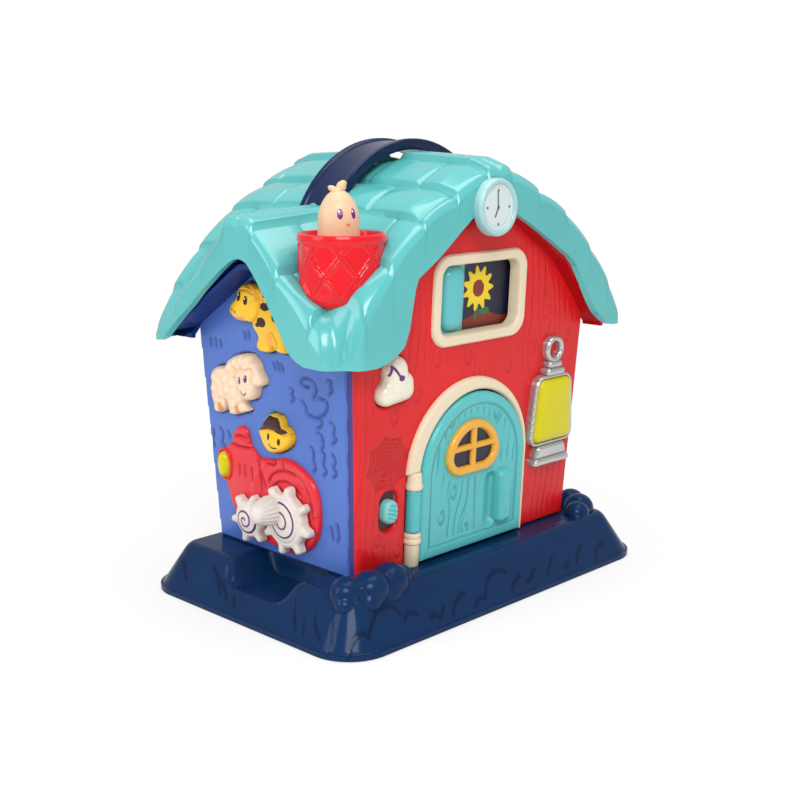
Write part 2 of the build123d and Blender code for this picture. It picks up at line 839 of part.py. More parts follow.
def handle_arch(outer, inner, width, middle):
    # part of a ring that stands over the ridge, above the handle's foot
    side = Plane(origin=(0, house_shift + middle + width / 2, 0), x_dir=(-1, 0, 0), z_dir=(0, 1, 0))
    with BuildPart(mode=Mode.PRIVATE) as arch:
        with BuildSketch(side):
            with Locations((0, arch_centre)):
                Circle(outer)
                Circle(inner, mode=Mode.SUBTRACT)
        extrude(amount=-width)
        split(bisect_by=Plane.XY.offset(handle_foot), keep=Keep.TOP)
    return arch.part


lug_x = sqrt((handle_radius - handle_thick) ** 2 - (handle_foot - arch_centre) ** 2) - lug_inset

with BuildPart() as carry_handle:
    add(handle_arch(handle_radius, handle_radius - handle_thick, handle_width, 0))
    for side in (-1, 1):
        add(handle_arch(handle_radius + handle_rim_height, handle_radius, handle_rim,
                        side * (handle_width - handle_rim) / 2))
    with BuildSketch(Plane.XY.offset(handle_foot)):
        with Locations((-lug_x, house_shift), (lug_x, house_shift)):
            Rectangle(lug_length + 2 * handle_thick, lug_width)
    extrude(amount=lug_thick)
    with BuildSketch(Plane.XY.offset(handle_foot - overrun)):
        with Locations((-lug_x, house_shift), (lug_x, house_shift)):
            Circle(screw_radius + running)
    extrude(amount=lug_thick + 2 * overrun, mode=Mode.SUBTRACT)
write("carry_handle", carry_handle)


# Roof shell: the outer block less the hollow inside it, with the gable openings and the finger bowl
roof_outer = roof_block(0)
roof_inner = roof_block(roof_wall)

with BuildPart() as finger_bowl:
    with BuildSketch(Plane.XY.offset(bowl_floor)):
        with Locations((0, house_shift)):
            Ellipse(bowl_half_length, bowl_half_width)
    extrude(amount=handle_top - bowl_floor)

with BuildPart() as roof_hollow:
    add(roof_inner)
    with BuildSketch(Plane.XY.offset(bowl_floor - roof_wall)):
        with Locations((0, house_shift)):
            Ellipse(bowl_half_length + roof_wall, bowl_half_width + roof_wall)
    extrude(amount=handle_top - bowl_floor, mode=Mode.SUBTRACT)
    with BuildSketch(Plane.XY.offset(handle_foot + lug_thick)):
        with Locations((-lug_x, house_shift), (lug_x, house_shift)):
            Circle(boss_radius)
    extrude(amount=handle_top - handle_foot, mode=Mode.SUBTRACT)

with BuildPart() as roof_shell:
    add(roof_outer)
    split(bisect_by=Plane.XY.offset(eave_height), keep=Keep.TOP)
    add(finger_bowl.part, mode=Mode.SUBTRACT)
    add(roof_hollow.part, mode=Mode.SUBTRACT)
    with BuildSketch(Plane(origin=(0, roof_front - overrun, 0), x_dir=(-1, 0, 0), z_dir=(0, 1, 0))):
        gable_outline(gable_half, gable_rise, gable_shares, 0, 0, 1)
    extrude(amount=2 * roof_half_run + 2 * overrun, mode=Mode.SUBTRACT)
    with BuildSketch(Plane(origin=(-dormer_half_run - overrun, house_shift, 0), x_dir=(0, 1, 0),
                           z_dir=(1, 0, 0))):
        with BuildSketch(mode=Mode.PRIVATE) as dormer_opening:
            gable_outline(arch_half, arch_rise, arch_shares, 0, 0, 1)
            fillet(dormer_opening.vertices().group_by(Axis.Y)[-1], arch_round)
        add(dormer_opening.sketch)
    extrude(amount=2 * dormer_half_run + 2 * overrun, mode=Mode.SUBTRACT)
    add(handle_arch(handle_radius + handle_rim_height + seat, handle_radius - handle_thick - seat,
                    handle_width + 2 * seat, 0), mode=Mode.SUBTRACT)
    with BuildSketch(Plane.XY.offset(stem_end - overrun)):
        with Locations((basket_x, basket_y)):
            Circle(cup_radius + seat)
    extrude(amount=handle_top - stem_end, mode=Mode.SUBTRACT)
    with BuildSketch(Plane.XY.offset(handle_foot)):
        with Locations((-lug_x, house_shift), (lug_x, house_shift)):
            Circle(screw_radius + running)
    extrude(amount=screw_length, mode=Mode.SUBTRACT)
write("roof_shell", roof_shell)

# Screws that hold the handle's lugs up to bosses inside the roof
with BuildPart() as handle_screws:
    with BuildSketch(Plane.XY.offset(handle_foot)):
        with Locations((-lug_x, house_shift), (lug_x, house_shift)):
            Circle(screw_head)
    extrude(amount=-screw_head_thick)
    with BuildSketch(Plane.XY.offset(handle_foot)):
        with Locations((-lug_x, house_shift), (lug_x, house_shift)):
            Circle(screw_radius)
    extrude(amount=screw_length - seat)
write("handle_screws", handle_screws)


# Clock: bezel ring on the fascia and the face inside it
clock_seat = Plane(origin=(clock_across, roof_front, clock_height), x_dir=(1, 0, 0), z_dir=(0, -1, 0))

with BuildPart() as clock_bezel:
    with BuildSketch(clock_seat):
        Circle(clock_radius)
        Circle(clock_radius - clock_rim, mode=Mode.SUBTRACT)
    extrude(amount=clock_thick)
    fillet(clock_bezel.edges().group_by(Axis.Y)[0], clock_rim / 3)
write("clock_bezel", clock_bezel)

with BuildPart() as clock_face:
    with BuildSketch(clock_seat):
        Circle(clock_radius - clock_rim - seat)
    extrude(amount=clock_face_thick)
write("clock_face", clock_face)


# Basket: its skirt stands on the roof and its cup passes through it
with BuildPart() as basket:
    with BuildSketch(Plane.XY.offset(basket_bottom)):
        with Locations((basket_x, basket_y)):
            Circle(basket_radius)
    extrude(amount=basket_rim - basket_bottom)
    add(roof_outer.moved(Location((0, 0, seat))), mode=Mode.SUBTRACT)
    with BuildSketch(Plane.XY.offset(cup_bottom)):
        with Locations((basket_x, basket_y)):
            Circle(cup_radius)
    extrude(amount=basket_rim - cup_bottom)
    with BuildSketch(Plane.XY.offset(cup_bottom + cup_floor)):
        with Locations((basket_x, basket_y)):
            Circle(chick_radius + slack)
    extrude(amount=basket_rim - cup_bottom, mode=Mode.SUBTRACT)
    with BuildSketch(Plane.XY.offset(basket_rim - basket_well)):
        with Locations((basket_x, basket_y)):
            Circle(basket_radius - tray_wall)
    extrude(amount=basket_rim - cup_bottom, mode=Mode.SUBTRACT)
    with BuildSketch(Plane.XY.offset(cup_bottom - overrun)):
        with Locations((basket_x, basket_y)):
            Circle(stem_radius + running)
    extrude(amount=cup_floor + 2 * overrun, mode=Mode.SUBTRACT)
write("basket", basket)

# Chick: a round body on a stem that slides in the cup floor
with BuildPart() as chick:
    with BuildSketch(Plane.XY.offset(chick_bottom)):
        with Locations((basket_x, basket_y)):
            Circle(chick_radius)
    extrude(amount=chick_top - chick_radius - chick_bottom)
    with Locations((basket_x, basket_y, chick_top - chick_radius)):
        Sphere(chick_radius)
    with Locations((basket_x, basket_y, chick_top)):
        Sphere(chick_tuft)
    with BuildSketch(Plane.XY.offset(stem_end)):
        with Locations((basket_x, basket_y)):
            Circle(stem_radius)
    extrude(amount=chick_bottom - stem_end)
write("chick", chick)

# Clip ring on the stem, which stops the chick under the cup floor
with BuildPart() as chick_clip:
    with BuildSketch(Plane.XY.offset(cup_bottom - seat)):
        with Locations((basket_x, basket_y)):
            Circle(clip_radius)
            Circle(stem_radius + running, mode=Mode.SUBTRACT)
    extrude(amount=-clip_thick)
write("chick_clip", chick_clip)


# Window frame: a flange on the wall and a sleeve through it
with BuildPart() as window_frame:
    with BuildSketch(front_seat):
        with Locations((window_across, window_up)):
            RectangleRounded(window_width, window_height, window_corner)
    extrude(amount=window_proud)
    fillet(window_frame.faces().sort_by(front_outward)[-1].edges(), window_proud / 2)
    with BuildSketch(front_seat):
        with Locations((window_across, window_up)):
            RectangleRounded(shutter_width, shutter_height, window_corner - window_band)
    extrude(amount=-window_sleeve)
    with BuildSketch(front_seat.offset(window_proud)):
        with Locations((window_across, window_up)):
            RectangleRounded(sleeve_width, sleeve_height, window_corner - window_band - sleeve_wall)
    extrude(amount=-window_proud - window_sleeve, mode=Mode.SUBTRACT)
write("window_frame", window_frame)

# Shutter: a panel behind the wall with a raised grip that shows in the window
grip_left = window_across - sleeve_width / 2 + shutter_rest
shutter_right = grip_left + shutter_grip

with BuildPart() as shutter:
    with BuildSketch(front_seat.offset(-shutter_front)) as shutter_sketch:
        with Locations((shutter_right - shutter_length / 2, window_up)):
            Rectangle(shutter_length, shutter_height)
        fillet(shutter_sketch.vertices().group_by(Axis.X)[0], shutter_corner)
    extrude(amount=-shutter_thick)
    with BuildSketch(front_seat.offset(-shutter_front)):
        with Locations((grip_left + shutter_grip / 2, window_up)):
            RectangleRounded(shutter_grip, sleeve_height - 2 * slack, shutter_grip_corner)
    extrude(amount=shutter_grip_proud)
write("shutter", shutter)

# Track: a bar above and a bar below the shutter, each with a lip behind its edge
track_length = track_left + track_right
track_middle = window_across + (track_right - track_left) / 2
bar_up = shutter_height / 2 + slack + track_bar / 2

with BuildPart() as shutter_track:
    for side in (-1, 1):
        with BuildSketch(front_seat.offset(-shell)):
            with Locations((track_middle, window_up + side * bar_up)):
                Rectangle(track_length, track_bar)
        extrude(amount=shell - track_out - track_lip)
        with BuildSketch(front_seat.offset(-track_out)):
            with Locations((track_middle, window_up + side * (bar_up - track_reach / 2))):
                Rectangle(track_length, track_bar + track_reach)
        extrude(amount=-track_lip)
write("shutter_track", shutter_track)

with BuildPart() as window_card:
    with BuildSketch(front_seat.offset(-track_out - track_lip)):
        with Locations((window_across, window_up)):
            Rectangle(shutter_width, 2 * bar_up)
    extrude(amount=-card_thick)
write("window_card", window_card)


# Door frame: an arch on the wall with hinge barrels above and below the door's knuckle
hinge_seat = Plane(origin=front_seat.from_local_coords((hinge_across, 0, hinge_out)), x_dir=(1, 0, 0),
                   z_dir=front_seat.y_dir)
frame_barrels = ((frame_lift, knuckle_low - knuckle_gap), (knuckle_high + knuckle_gap, barrel_top))
pin_low = knuckle_low - pin_lap
pin_high = knuckle_high + pin_lap

with BuildPart() as door_frame:
    with BuildSketch(front_seat):
        arch_face(frame_across, frame_radius, frame_spring, frame_lift)
    extrude(amount=frame_proud)
    with BuildSketch(front_seat.offset(frame_proud + overrun)):
        arch_face(door_across, door_half_width + door_gap, door_spring, -overrun)
        with Locations((hinge_across, (knuckle_low + knuckle_high) / 2)):
            Rectangle(2 * barrel_radius + 2 * knuckle_gap, knuckle_high - knuckle_low + 2 * knuckle_gap)
    extrude(amount=-frame_proud - 2 * overrun, mode=Mode.SUBTRACT)
    for low, high in frame_barrels:
        with BuildSketch(hinge_seat.offset(low)):
            Circle(barrel_radius)
        extrude(amount=high - low)
    with BuildSketch(hinge_seat.offset(pin_low - seat)):
        Circle(pin_radius + running)
    extrude(amount=pin_high - pin_low + 2 * seat, mode=Mode.SUBTRACT)
write("door_frame", door_frame)

with BuildPart() as hinge_pin:
    with BuildSketch(hinge_seat.offset(pin_low)):
        Circle(pin_radius)
    extrude(amount=pin_high - pin_low)
write("hinge_pin", hinge_pin)

# Door leaf with its knuckle, grip, finger hollow and the opening for the window insert
pane_foot = pane_up - pane_height / 2
pane_spring = pane_foot + pane_height - pane_width / 2
web_reach = door_across - door_half_width - hinge_across + overrun
hollow_across = grip_across - grip_width / 2 - hollow_width / 2

with BuildPart() as door:
    with BuildSketch(front_seat.offset(-door_back)):
        arch_face(door_across, door_half_width, door_spring, door_sill)
    extrude(amount=door_back + door_front)
    with BuildSketch(hinge_seat):
        Circle(barrel_radius + door_gap)
    extrude(amount=swing_top, mode=Mode.SUBTRACT)
    with BuildSketch(hinge_seat.offset(knuckle_low)):
        Circle(barrel_radius)
        with Locations((web_reach / 2, (door_back - door_front) / 2 + hinge_out)):
            Rectangle(web_reach, door_back + door_front)
    extrude(amount=knuckle_high - knuckle_low)
    with BuildSketch(hinge_seat):
        Circle(pin_radius + running)
    extrude(amount=barrel_top, mode=Mode.SUBTRACT)
    with BuildSketch(front_seat.offset(door_front)):
        arch_face(pane_across, pane_width / 2 - pane_plug + seat, pane_spring, pane_foot + pane_plug - seat)
    extrude(amount=-door_front - door_back, mode=Mode.SUBTRACT)
    with BuildSketch(front_seat.offset(door_front)):
        with Locations((hollow_across, grip_up)):
            SlotOverall(grip_height, hollow_width, rotation=90)
    extrude(amount=-hollow_depth, mode=Mode.SUBTRACT)
    with BuildSketch(front_seat.offset(door_front)):
        with Locations((grip_across, grip_up)):
            SlotOverall(grip_height, grip_width, rotation=90)
    extrude(amount=grip_proud)
    fillet(door.faces().sort_by(front_outward)[-1].edges(), grip_round)
write("door", door)

# Window insert of the door, with four open panes
with BuildPart() as door_window:
    with BuildSketch(front_seat.offset(door_front)):
        arch_face(pane_across, pane_width / 2, pane_spring, pane_foot)
    extrude(amount=pane_proud)
    with BuildSketch(front_seat.offset(door_front)):
        arch_face(pane_across, pane_width / 2 - pane_plug, pane_spring, pane_foot + pane_plug)
    extrude(amount=-door_front - door_back)
    with BuildSketch(front_seat.offset(door_front + pane_proud)):
        arch_face(pane_across, pane_width / 2 - pane_band, pane_spring, pane_foot + pane_band)
        with Locations((pane_across, pane_up)):
            Rectangle(pane_bar, pane_height, mode=Mode.SUBTRACT)
            Rectangle(pane_width, pane_bar, mode=Mode.SUBTRACT)
    extrude(amount=-door_front - door_back - pane_proud, mode=Mode.SUBTRACT)
write("door_window", door_window)

# Room behind the door, open to the front
room_left = door_across - door_half_width - door_gap + room_inset
room_right = door_across + door_half_width + door_gap + room_spread
room_middle = (room_left + room_right) / 2

with BuildPart() as room_liner:
    with BuildSketch(front_seat.offset(-shell)):
        with Locations((room_middle, (room_height + room_wall + seat) / 2)):
            Rectangle(room_right - room_left + 2 * room_wall, room_height + room_wall - seat)
    extrude(amount=-room_depth - room_wall)
    split(bisect_by=Plane.XY.offset(base_height + seat), keep=Keep.TOP)
    with BuildSketch(front_seat.offset(-shell)):
        with Locations((room_middle, (room_height + room_wall + seat) / 2)):
            Rectangle(room_right - room_left, room_height - room_wall - seat)
    extrude(amount=-room_depth, mode=Mode.SUBTRACT)
write("room_liner", room_liner)


# Push buttons: a raised body with a flange behind the wall
flange_front = shell + seat
flange_back = flange_front + button_flange


def push_button(plane, across, up, shares, width, height, proud):
    # body through the wall, and the flange that keeps it there
    with BuildPart(mode=Mode.PRIVATE) as button:
        with BuildSketch(plane.offset(-flange_back)):
            with Locations((across, up)):
                capsules(shares, width, height, 0)
        extrude(amount=flange_back + proud)
        with BuildSketch(plane.offset(-flange_back)):
            with Locations((across, up)):
                capsules(shares, width, height, button_lip)
        extrude(amount=button_flange)
    return button.part


with BuildPart() as bell_button:
    add(push_button(front_seat, bell_across, bell_up, bell_shares, bell_width, bell_height, bell_proud))
write("bell_button", bell_button)

with BuildPart() as cow_button:
    add(push_button(left_seat, cow_across, cow_up, cow_shares, cow_width, cow_height, animal_proud))
write("cow_button", cow_button)

with BuildPart() as sheep_button:
    add(push_button(left_seat, sheep_across, sheep_up, sheep_shares, sheep_width, sheep_height, animal_proud))
write("sheep_button", sheep_button)

with BuildPart() as farmer_button:
    add(push_button(left_seat, farmer_across, farmer_up, farmer_shares, farmer_width, farmer_height,
                    animal_proud))
write("farmer_button", farmer_button)

# Boards behind the buttons and the rubber pads on them
with BuildPart() as front_button_board:
    with BuildSketch(front_seat.offset(-board_out)):
        with Locations((bell_across, bell_up)):
            Rectangle(2 * bell_post + 2 * post_radius, 2 * board_margin)
    extrude(amount=-board_thick)
write("front_button_board", front_button_board)

with BuildPart() as bell_pad:
    with BuildSketch(front_seat.offset(-board_out)):
        with Locations((bell_across, bell_up)):
            Circle(pad_radius)
    extrude(amount=pad_height)
write("bell_pad", bell_pad)

with BuildPart() as left_button_board:
    with BuildSketch(left_seat.offset(-board_out)):
        with Locations(((animal_board_front - animal_board_back) / 2,
                        (animal_board_low + animal_board_high) / 2)):
            Rectangle(animal_board_front + animal_board_back, animal_board_high - animal_board_low)
        with Locations((cow_across, cow_up)):
            Rectangle(2 * board_margin, 2 * board_margin + 2 * (cow_up - board_margin - animal_board_high))
    extrude(amount=-board_thick)
write("left_button_board", left_button_board)

with BuildPart() as left_button_pads:
    with BuildSketch(left_seat.offset(-board_out)):
        with Locations((cow_across, cow_up), (sheep_across, sheep_up), (farmer_across, farmer_up)):
            Circle(pad_radius)
    extrude(amount=pad_height)
write("left_button_pads", left_button_pads)


# Slide switch: a body behind the wall with a lipped channel, and the thumb piece in it
lip_back = flange_front + switch_wall
channel_back = lip_back + thumb_lip_thick + 2 * seat

with BuildPart() as switch_body:
    with BuildSketch(front_seat.offset(-shell)):
        with Locations((switch_across, switch_up)):
            Rectangle(switch_width + 2 * switch_wall, switch_height + 2 * switch_wall)
    extrude(amount=-switch_depth)
    with BuildSketch(front_seat.offset(-shell)):
        with Locations((switch_across, switch_up)):
            Rectangle(thumb_width + 2 * slack, switch_height)
    extrude(amount=shell - channel_back, mode=Mode.SUBTRACT)
    with BuildSketch(front_seat.offset(-lip_back)):
        with Locations((switch_across, switch_up)):
            Rectangle(thumb_width + 2 * thumb_lip + 2 * slack, switch_height)
    extrude(amount=lip_back - channel_back, mode=Mode.SUBTRACT)
write("switch_body", switch_body)

with BuildPart() as switch_thumb:
    with BuildSketch(front_seat.offset(-lip_back - seat)):
        with Locations((switch_across, switch_up)):
            Rectangle(thumb_width + 2 * thumb_lip, thumb_height)
    extrude(amount=-thumb_lip_thick)
    with BuildSketch(front_seat.offset(-lip_back - seat)):
        with Locations((switch_across, switch_up)):
            Rectangle(thumb_width, thumb_height)
    extrude(amount=lip_back + seat + thumb_proud)
    with BuildSketch(front_seat.offset(thumb_proud)):
        with Locations((switch_across, switch_up)):
            with GridLocations(0, thumb_height / thumb_ribs, 1, thumb_ribs):
                Rectangle(thumb_width, thumb_rib)
    extrude(amount=thumb_rib)
write("switch_thumb", switch_thumb)


# Lantern: silver frame with a ring, neck and foot, and a hollow lens
def trapezoid(bottom, top, height, grow):
    Polygon((-bottom / 2 - grow, -height / 2 - grow), (bottom / 2 + grow, -height / 2 - grow),
            (top / 2 + grow, height / 2 + grow), (-top / 2 - grow, height / 2 + grow), align=None)


neck_up = lens_up + lens_height / 2 + lantern_band + neck_height / 2
ring_up = neck_up + neck_height / 2 + ring_radius + ring_wire / 4
foot_up = lens_up - lens_height / 2 - lantern_band - foot_height / 2

with BuildPart() as lantern_frame:
    with BuildSketch(front_seat):
        with Locations((lantern_across, lens_up)):
            trapezoid(lens_bottom, lens_top, lens_height, lantern_band)
    extrude(amount=lantern_band_proud)
    with BuildSketch(front_seat):
        with Locations((lantern_across, neck_up)):
            Rectangle(neck_width, neck_height)
    extrude(amount=neck_proud)
    with BuildSketch(front_seat):
        with Locations((lantern_across, ring_up)):
            Circle(ring_radius + ring_wire / 2)
            Circle(ring_radius - ring_wire / 2, mode=Mode.SUBTRACT)
    extrude(amount=ring_wire)
    with BuildSketch(front_seat):
        with Locations((lantern_across, foot_up)):
            trapezoid(foot_bottom, foot_top, foot_height, 0)
    extrude(amount=foot_proud)
    with BuildSketch(front_seat):
        with Locations((lantern_across, lens_up)):
            trapezoid(lens_bottom, lens_top, lens_height, seat)
    extrude(amount=lens_proud, mode=Mode.SUBTRACT)
write("lantern_frame", lantern_frame)

with BuildPart() as lantern_lens:
    with BuildSketch(front_seat):
        with Locations((lantern_across, lens_up)):
            trapezoid(lens_bottom, lens_top, lens_height, 0)
    extrude(amount=lens_proud)
    fillet(lantern_lens.faces().sort_by(front_outward)[-1].edges(), lens_wall)
    with BuildSketch(front_seat):
        with Locations((lantern_across, lens_up)):
            trapezoid(lens_bottom, lens_top, lens_height, -lens_wall)
    extrude(amount=lens_proud - lens_wall, mode=Mode.SUBTRACT)
write("lantern_lens", lantern_lens)

# Lamps: one behind the lantern lens, one behind the headlamp
with BuildPart() as lamps:
    for plane, across, up in ((front_seat, lantern_across, lens_up), (left_seat, lamp_across, lamp_up)):
        with BuildSketch(plane.offset(lamp_tip)):
            with Locations((across, up)):
                Circle(lamp_radius)
        extrude(amount=-lamp_tip - lamp_tail)
        with BuildSketch(plane.offset(-shell)):
            with Locations((across, up)):
                Circle(lamp_flange)
        extrude(amount=-lamp_flange_thick)
write("lamps", lamps)


# Tractor panel, with the farmer, headlamp and axles passing through it
with BuildPart() as tractor_panel:
    with BuildSketch(left_seat):
        with Locations((fender_across, fender_up)):
            Circle(fender_radius)
        with Locations((bonnet_across, bonnet_up)):
            RectangleRounded(bonnet_width, bonnet_height, bonnet_corner)
        with Locations((stack_across, (bonnet_up + stack_top) / 2)):
            SlotOverall(stack_top - bonnet_up, 2 * stack_radius, rotation=90)
    extrude(amount=tractor_thick)
    with BuildSketch(left_seat):
        with Locations((farmer_across, farmer_up)):
            capsules(farmer_shares, farmer_width, farmer_height, slack)
        with Locations((lamp_across, lamp_up)):
            Ellipse(headlamp_width / 2 + seat, headlamp_height / 2 + seat)
        with Locations((gear_across, gear_up), (small_across, small_up)):
            Circle(axle_radius + running)
    extrude(amount=tractor_thick, mode=Mode.SUBTRACT)
write("tractor_panel", tractor_panel)

with BuildPart() as headlamp_lens:
    with BuildSketch(left_seat):
        with Locations((lamp_across, lamp_up)):
            Ellipse(headlamp_width / 2, headlamp_height / 2)
    extrude(amount=headlamp_proud)
    fillet(headlamp_lens.faces().sort_by(left_outward)[-1].edges(), lens_wall)
    with BuildSketch(left_seat):
        with Locations((lamp_across, lamp_up)):
            Ellipse(headlamp_width / 2 - lens_wall, headlamp_height / 2 - lens_wall)
    extrude(amount=headlamp_proud - lens_wall, mode=Mode.SUBTRACT)
write("headlamp_lens", headlamp_lens)


# Gears, their axles and the crank knob
large_seat = Plane(origin=left_seat.from_local_coords((gear_across, gear_up, gear_back)),
                   x_dir=left_seat.x_dir,
                   z_dir=left_seat.z_dir)
small_seat = Plane(origin=left_seat.from_local_coords((small_across, small_up, gear_back)),
                   x_dir=left_seat.x_dir,
                   z_dir=left_seat.z_dir)
axle_end = gear_face - axle_head_gap
bore_depth = axle_end - gear_back + seat
knob_across = crank_orbit * cos(radians(crank_turn))
knob_up = crank_orbit * sin(radians(crank_turn))

with BuildPart() as large_gear:
    with BuildSketch(large_seat):
        gear_outline(large_teeth, large_root, large_tip, large_tooth, gear_line + 180 / large_teeth)
    extrude(amount=gear_thick)
    with BuildSketch(large_seat.offset(gear_thick)):
        Circle(large_root * hub_share)
        with Locations((knob_across, knob_up)):
            Circle(knob_radius + seat, mode=Mode.SUBTRACT)
    extrude(amount=gear_dome)
    with BuildSketch(large_seat):
        Circle(axle_radius + running)
    extrude(amount=bore_depth, mode=Mode.SUBTRACT)
    with BuildSketch(large_seat.offset(gear_thick)):
        with Locations((knob_across, knob_up)):
            Circle(knob_stud + running)
    extrude(amount=-knob_stud_depth - seat, mode=Mode.SUBTRACT)
write("large_gear", large_gear)

with BuildPart() as crank_knob:
    with BuildSketch(large_seat.offset(gear_thick)):
        with Locations((knob_across, knob_up)):
            Circle(knob_radius)
    extrude(amount=knob_length)
    with BuildSketch(large_seat.offset(gear_thick)):
        with Locations((knob_across, knob_up)):
            Circle(knob_tip_radius)
    extrude(amount=knob_length + knob_tip)
    fillet(crank_knob.faces().sort_by(left_outward)[-1].edges(), knob_tip_radius / 2)
    with BuildSketch(large_seat.offset(gear_thick)):
        with Locations((knob_across, knob_up)):
            Circle(knob_stud)
    extrude(amount=-knob_stud_depth)
write("crank_knob", crank_knob)

with BuildPart() as small_gear:
    with BuildSketch(small_seat):
        gear_outline(small_teeth, small_root, small_tip, small_tooth, gear_line - 180)
    extrude(amount=gear_thick)
    with BuildSketch(small_seat.offset(gear_thick)):
        Circle(small_root * hub_share)
    extrude(amount=gear_dome)
    with BuildSketch(small_seat):
        Circle(axle_radius + running)
    extrude(amount=bore_depth, mode=Mode.SUBTRACT)
write("small_gear", small_gear)

with BuildPart() as gear_axles:
    with BuildSketch(left_seat.offset(-shell)):
        with Locations((gear_across, gear_up), (small_across, small_up)):
            Circle(axle_flange)
    extrude(amount=-axle_flange_thick)
    with BuildSketch(left_seat.offset(-shell)):
        with Locations((gear_across, gear_up), (small_across, small_up)):
            Circle(axle_radius)
    extrude(amount=shell + axle_end)
write("gear_axles", gear_axles)


# Main board on the back wall's posts
with BuildPart() as main_board:
    with BuildSketch(back_seat.offset(-shell - board_stand)):
        with Locations((0, board_up)):
            Rectangle(board_width, board_height)
    extrude(amount=-board_thick)
    with BuildSketch(back_seat.offset(-shell - board_stand - board_thick)):
        with Locations((0, board_up)):
            Rectangle(chip_width, chip_width)
    extrude(amount=-chip_thick)
write("main_board", main_board)

# Speaker behind the grille, held by a clamp ring
with BuildPart() as speaker:
    with BuildSketch(right_seat.offset(-shell)):
        with Locations((0, speaker_up)):
            Circle(speaker_radius)
    extrude(amount=-speaker_rim)
    with BuildSketch(right_seat.offset(-shell - speaker_rim)):
        with Locations((0, speaker_up)):
            Circle(magnet_radius)
    extrude(amount=-magnet_depth)
write("speaker", speaker)

with BuildPart() as speaker_clamp:
    with BuildSketch(right_seat.offset(-shell)):
        with Locations((0, speaker_up)):
            Circle(clamp_radius)
    extrude(amount=-speaker_rim - clamp_thick)
    with BuildSketch(right_seat.offset(-shell)):
        with Locations((0, speaker_up)):
            Circle(speaker_radius + seat)
    extrude(amount=-speaker_rim, mode=Mode.SUBTRACT)
    with BuildSketch(right_seat.offset(-shell)):
        with Locations((0, speaker_up)):
            Circle(speaker_radius - clamp_lip)
    extrude(amount=-speaker_rim - clamp_thick, mode=Mode.SUBTRACT)
write("speaker_clamp", speaker_clamp)
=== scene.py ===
import math

import bmesh
import bpy
import numpy as np
from mathutils import Matrix, Vector


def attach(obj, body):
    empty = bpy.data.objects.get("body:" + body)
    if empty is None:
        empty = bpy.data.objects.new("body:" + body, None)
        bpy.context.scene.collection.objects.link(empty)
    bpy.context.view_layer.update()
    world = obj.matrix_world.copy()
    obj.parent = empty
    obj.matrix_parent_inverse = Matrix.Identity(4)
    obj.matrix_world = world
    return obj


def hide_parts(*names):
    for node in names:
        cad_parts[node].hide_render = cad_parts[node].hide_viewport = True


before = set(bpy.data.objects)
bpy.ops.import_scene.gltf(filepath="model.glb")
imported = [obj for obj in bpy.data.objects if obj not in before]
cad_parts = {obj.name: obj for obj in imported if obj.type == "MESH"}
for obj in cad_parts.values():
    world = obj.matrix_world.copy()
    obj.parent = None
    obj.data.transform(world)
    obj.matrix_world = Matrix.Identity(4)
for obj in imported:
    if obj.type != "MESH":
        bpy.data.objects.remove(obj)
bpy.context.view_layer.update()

# sizes that many pieces share, in mm, and the walls' lean of 3 degrees
houseMid, baseTop, eaveHigh = 6.5, 28, 153
leanSin, leanCos = 0.052336, 0.998630

# planes that pieces are laid out on: origin, across and up
planes = {
    "front": ((0, -56, baseTop), (1, 0, 0), (0, -leanSin, leanCos)),
    "left": ((-93, houseMid, baseTop), (0, -1, 0), (-leanSin, 0, leanCos)),
    "right": ((93, houseMid, baseTop), (0, 1, 0), (leanSin, 0, leanCos)),
    "back": ((0, 69, baseTop), (-1, 0, 0), (0, leanSin, leanCos)),
    "clock": ((-7, -77, 233), (1, 0, 0), (0, 0, 1)),
    "plan": ((0, 0, 0), (1, 0, 0), (0, 1, 0)),
}


def place(plane, across, up, out):
    if callable(plane):
        return plane(across, up, out) * 0.001
    origin, a, u = (np.array(v, float) for v in planes[plane])
    return (origin + np.outer(across, a) + np.outer(up, u) + np.outer(out, np.cross(a, u))) * 0.001


# flat outlines as signed distances, negative inside
def disc(x, y, cx, cy, r):
    return np.hypot(x - cx, y - cy) - r


def slab(x, y, cx, cy, w, h, r=0.0):
    qx = np.abs(x - cx) - w / 2 + r
    qy = np.abs(y - cy) - h / 2 + r
    return np.hypot(np.maximum(qx, 0), np.maximum(qy, 0)) + np.minimum(np.maximum(qx, qy), 0) - r


def capsule(x, y, ax, ay, bx, by, r):
    dx, dy = bx - ax, by - ay
    t = np.clip(((x - ax) * dx + (y - ay) * dy) / max(dx * dx + dy * dy, 1e-9), 0, 1)
    return np.hypot(x - ax - t * dx, y - ay - t * dy) - r


def ellipse(x, y, cx, cy, rx, ry):
    k = np.hypot((x - cx) / rx, (y - cy) / ry)
    g = np.hypot((x - cx) / rx ** 2, (y - cy) / ry ** 2)
    return np.where(k > 0.05, k * (k - 1) / np.maximum(g, 1e-6), -min(rx, ry))


def arch(x, y, cx, half, spring, foot):
    d = np.where(y > spring, np.hypot(x - cx, y - spring) - half, np.abs(x - cx) - half)
    return np.maximum(d, foot - y)


def outline(x, y, points):
    best = np.full(x.shape, 1e9)
    inside = np.zeros(x.shape, bool)
    for (ax, ay), (bx, by) in zip(points, points[1:] + points[:1]):
        best = np.minimum(best, capsule(x, y, ax, ay, bx, by, 0))
        if ay != by:
            inside ^= ((ay > y) != (by > y)) & (x < (bx - ax) * (y - ay) / (by - ay) + ax)
    return np.where(inside, -best, best)


def joined(a, b, k):
    h = np.clip(0.5 + 0.5 * (b - a) / k, 0, 1)
    return b + (a - b) * h - k * h * (1 - h)


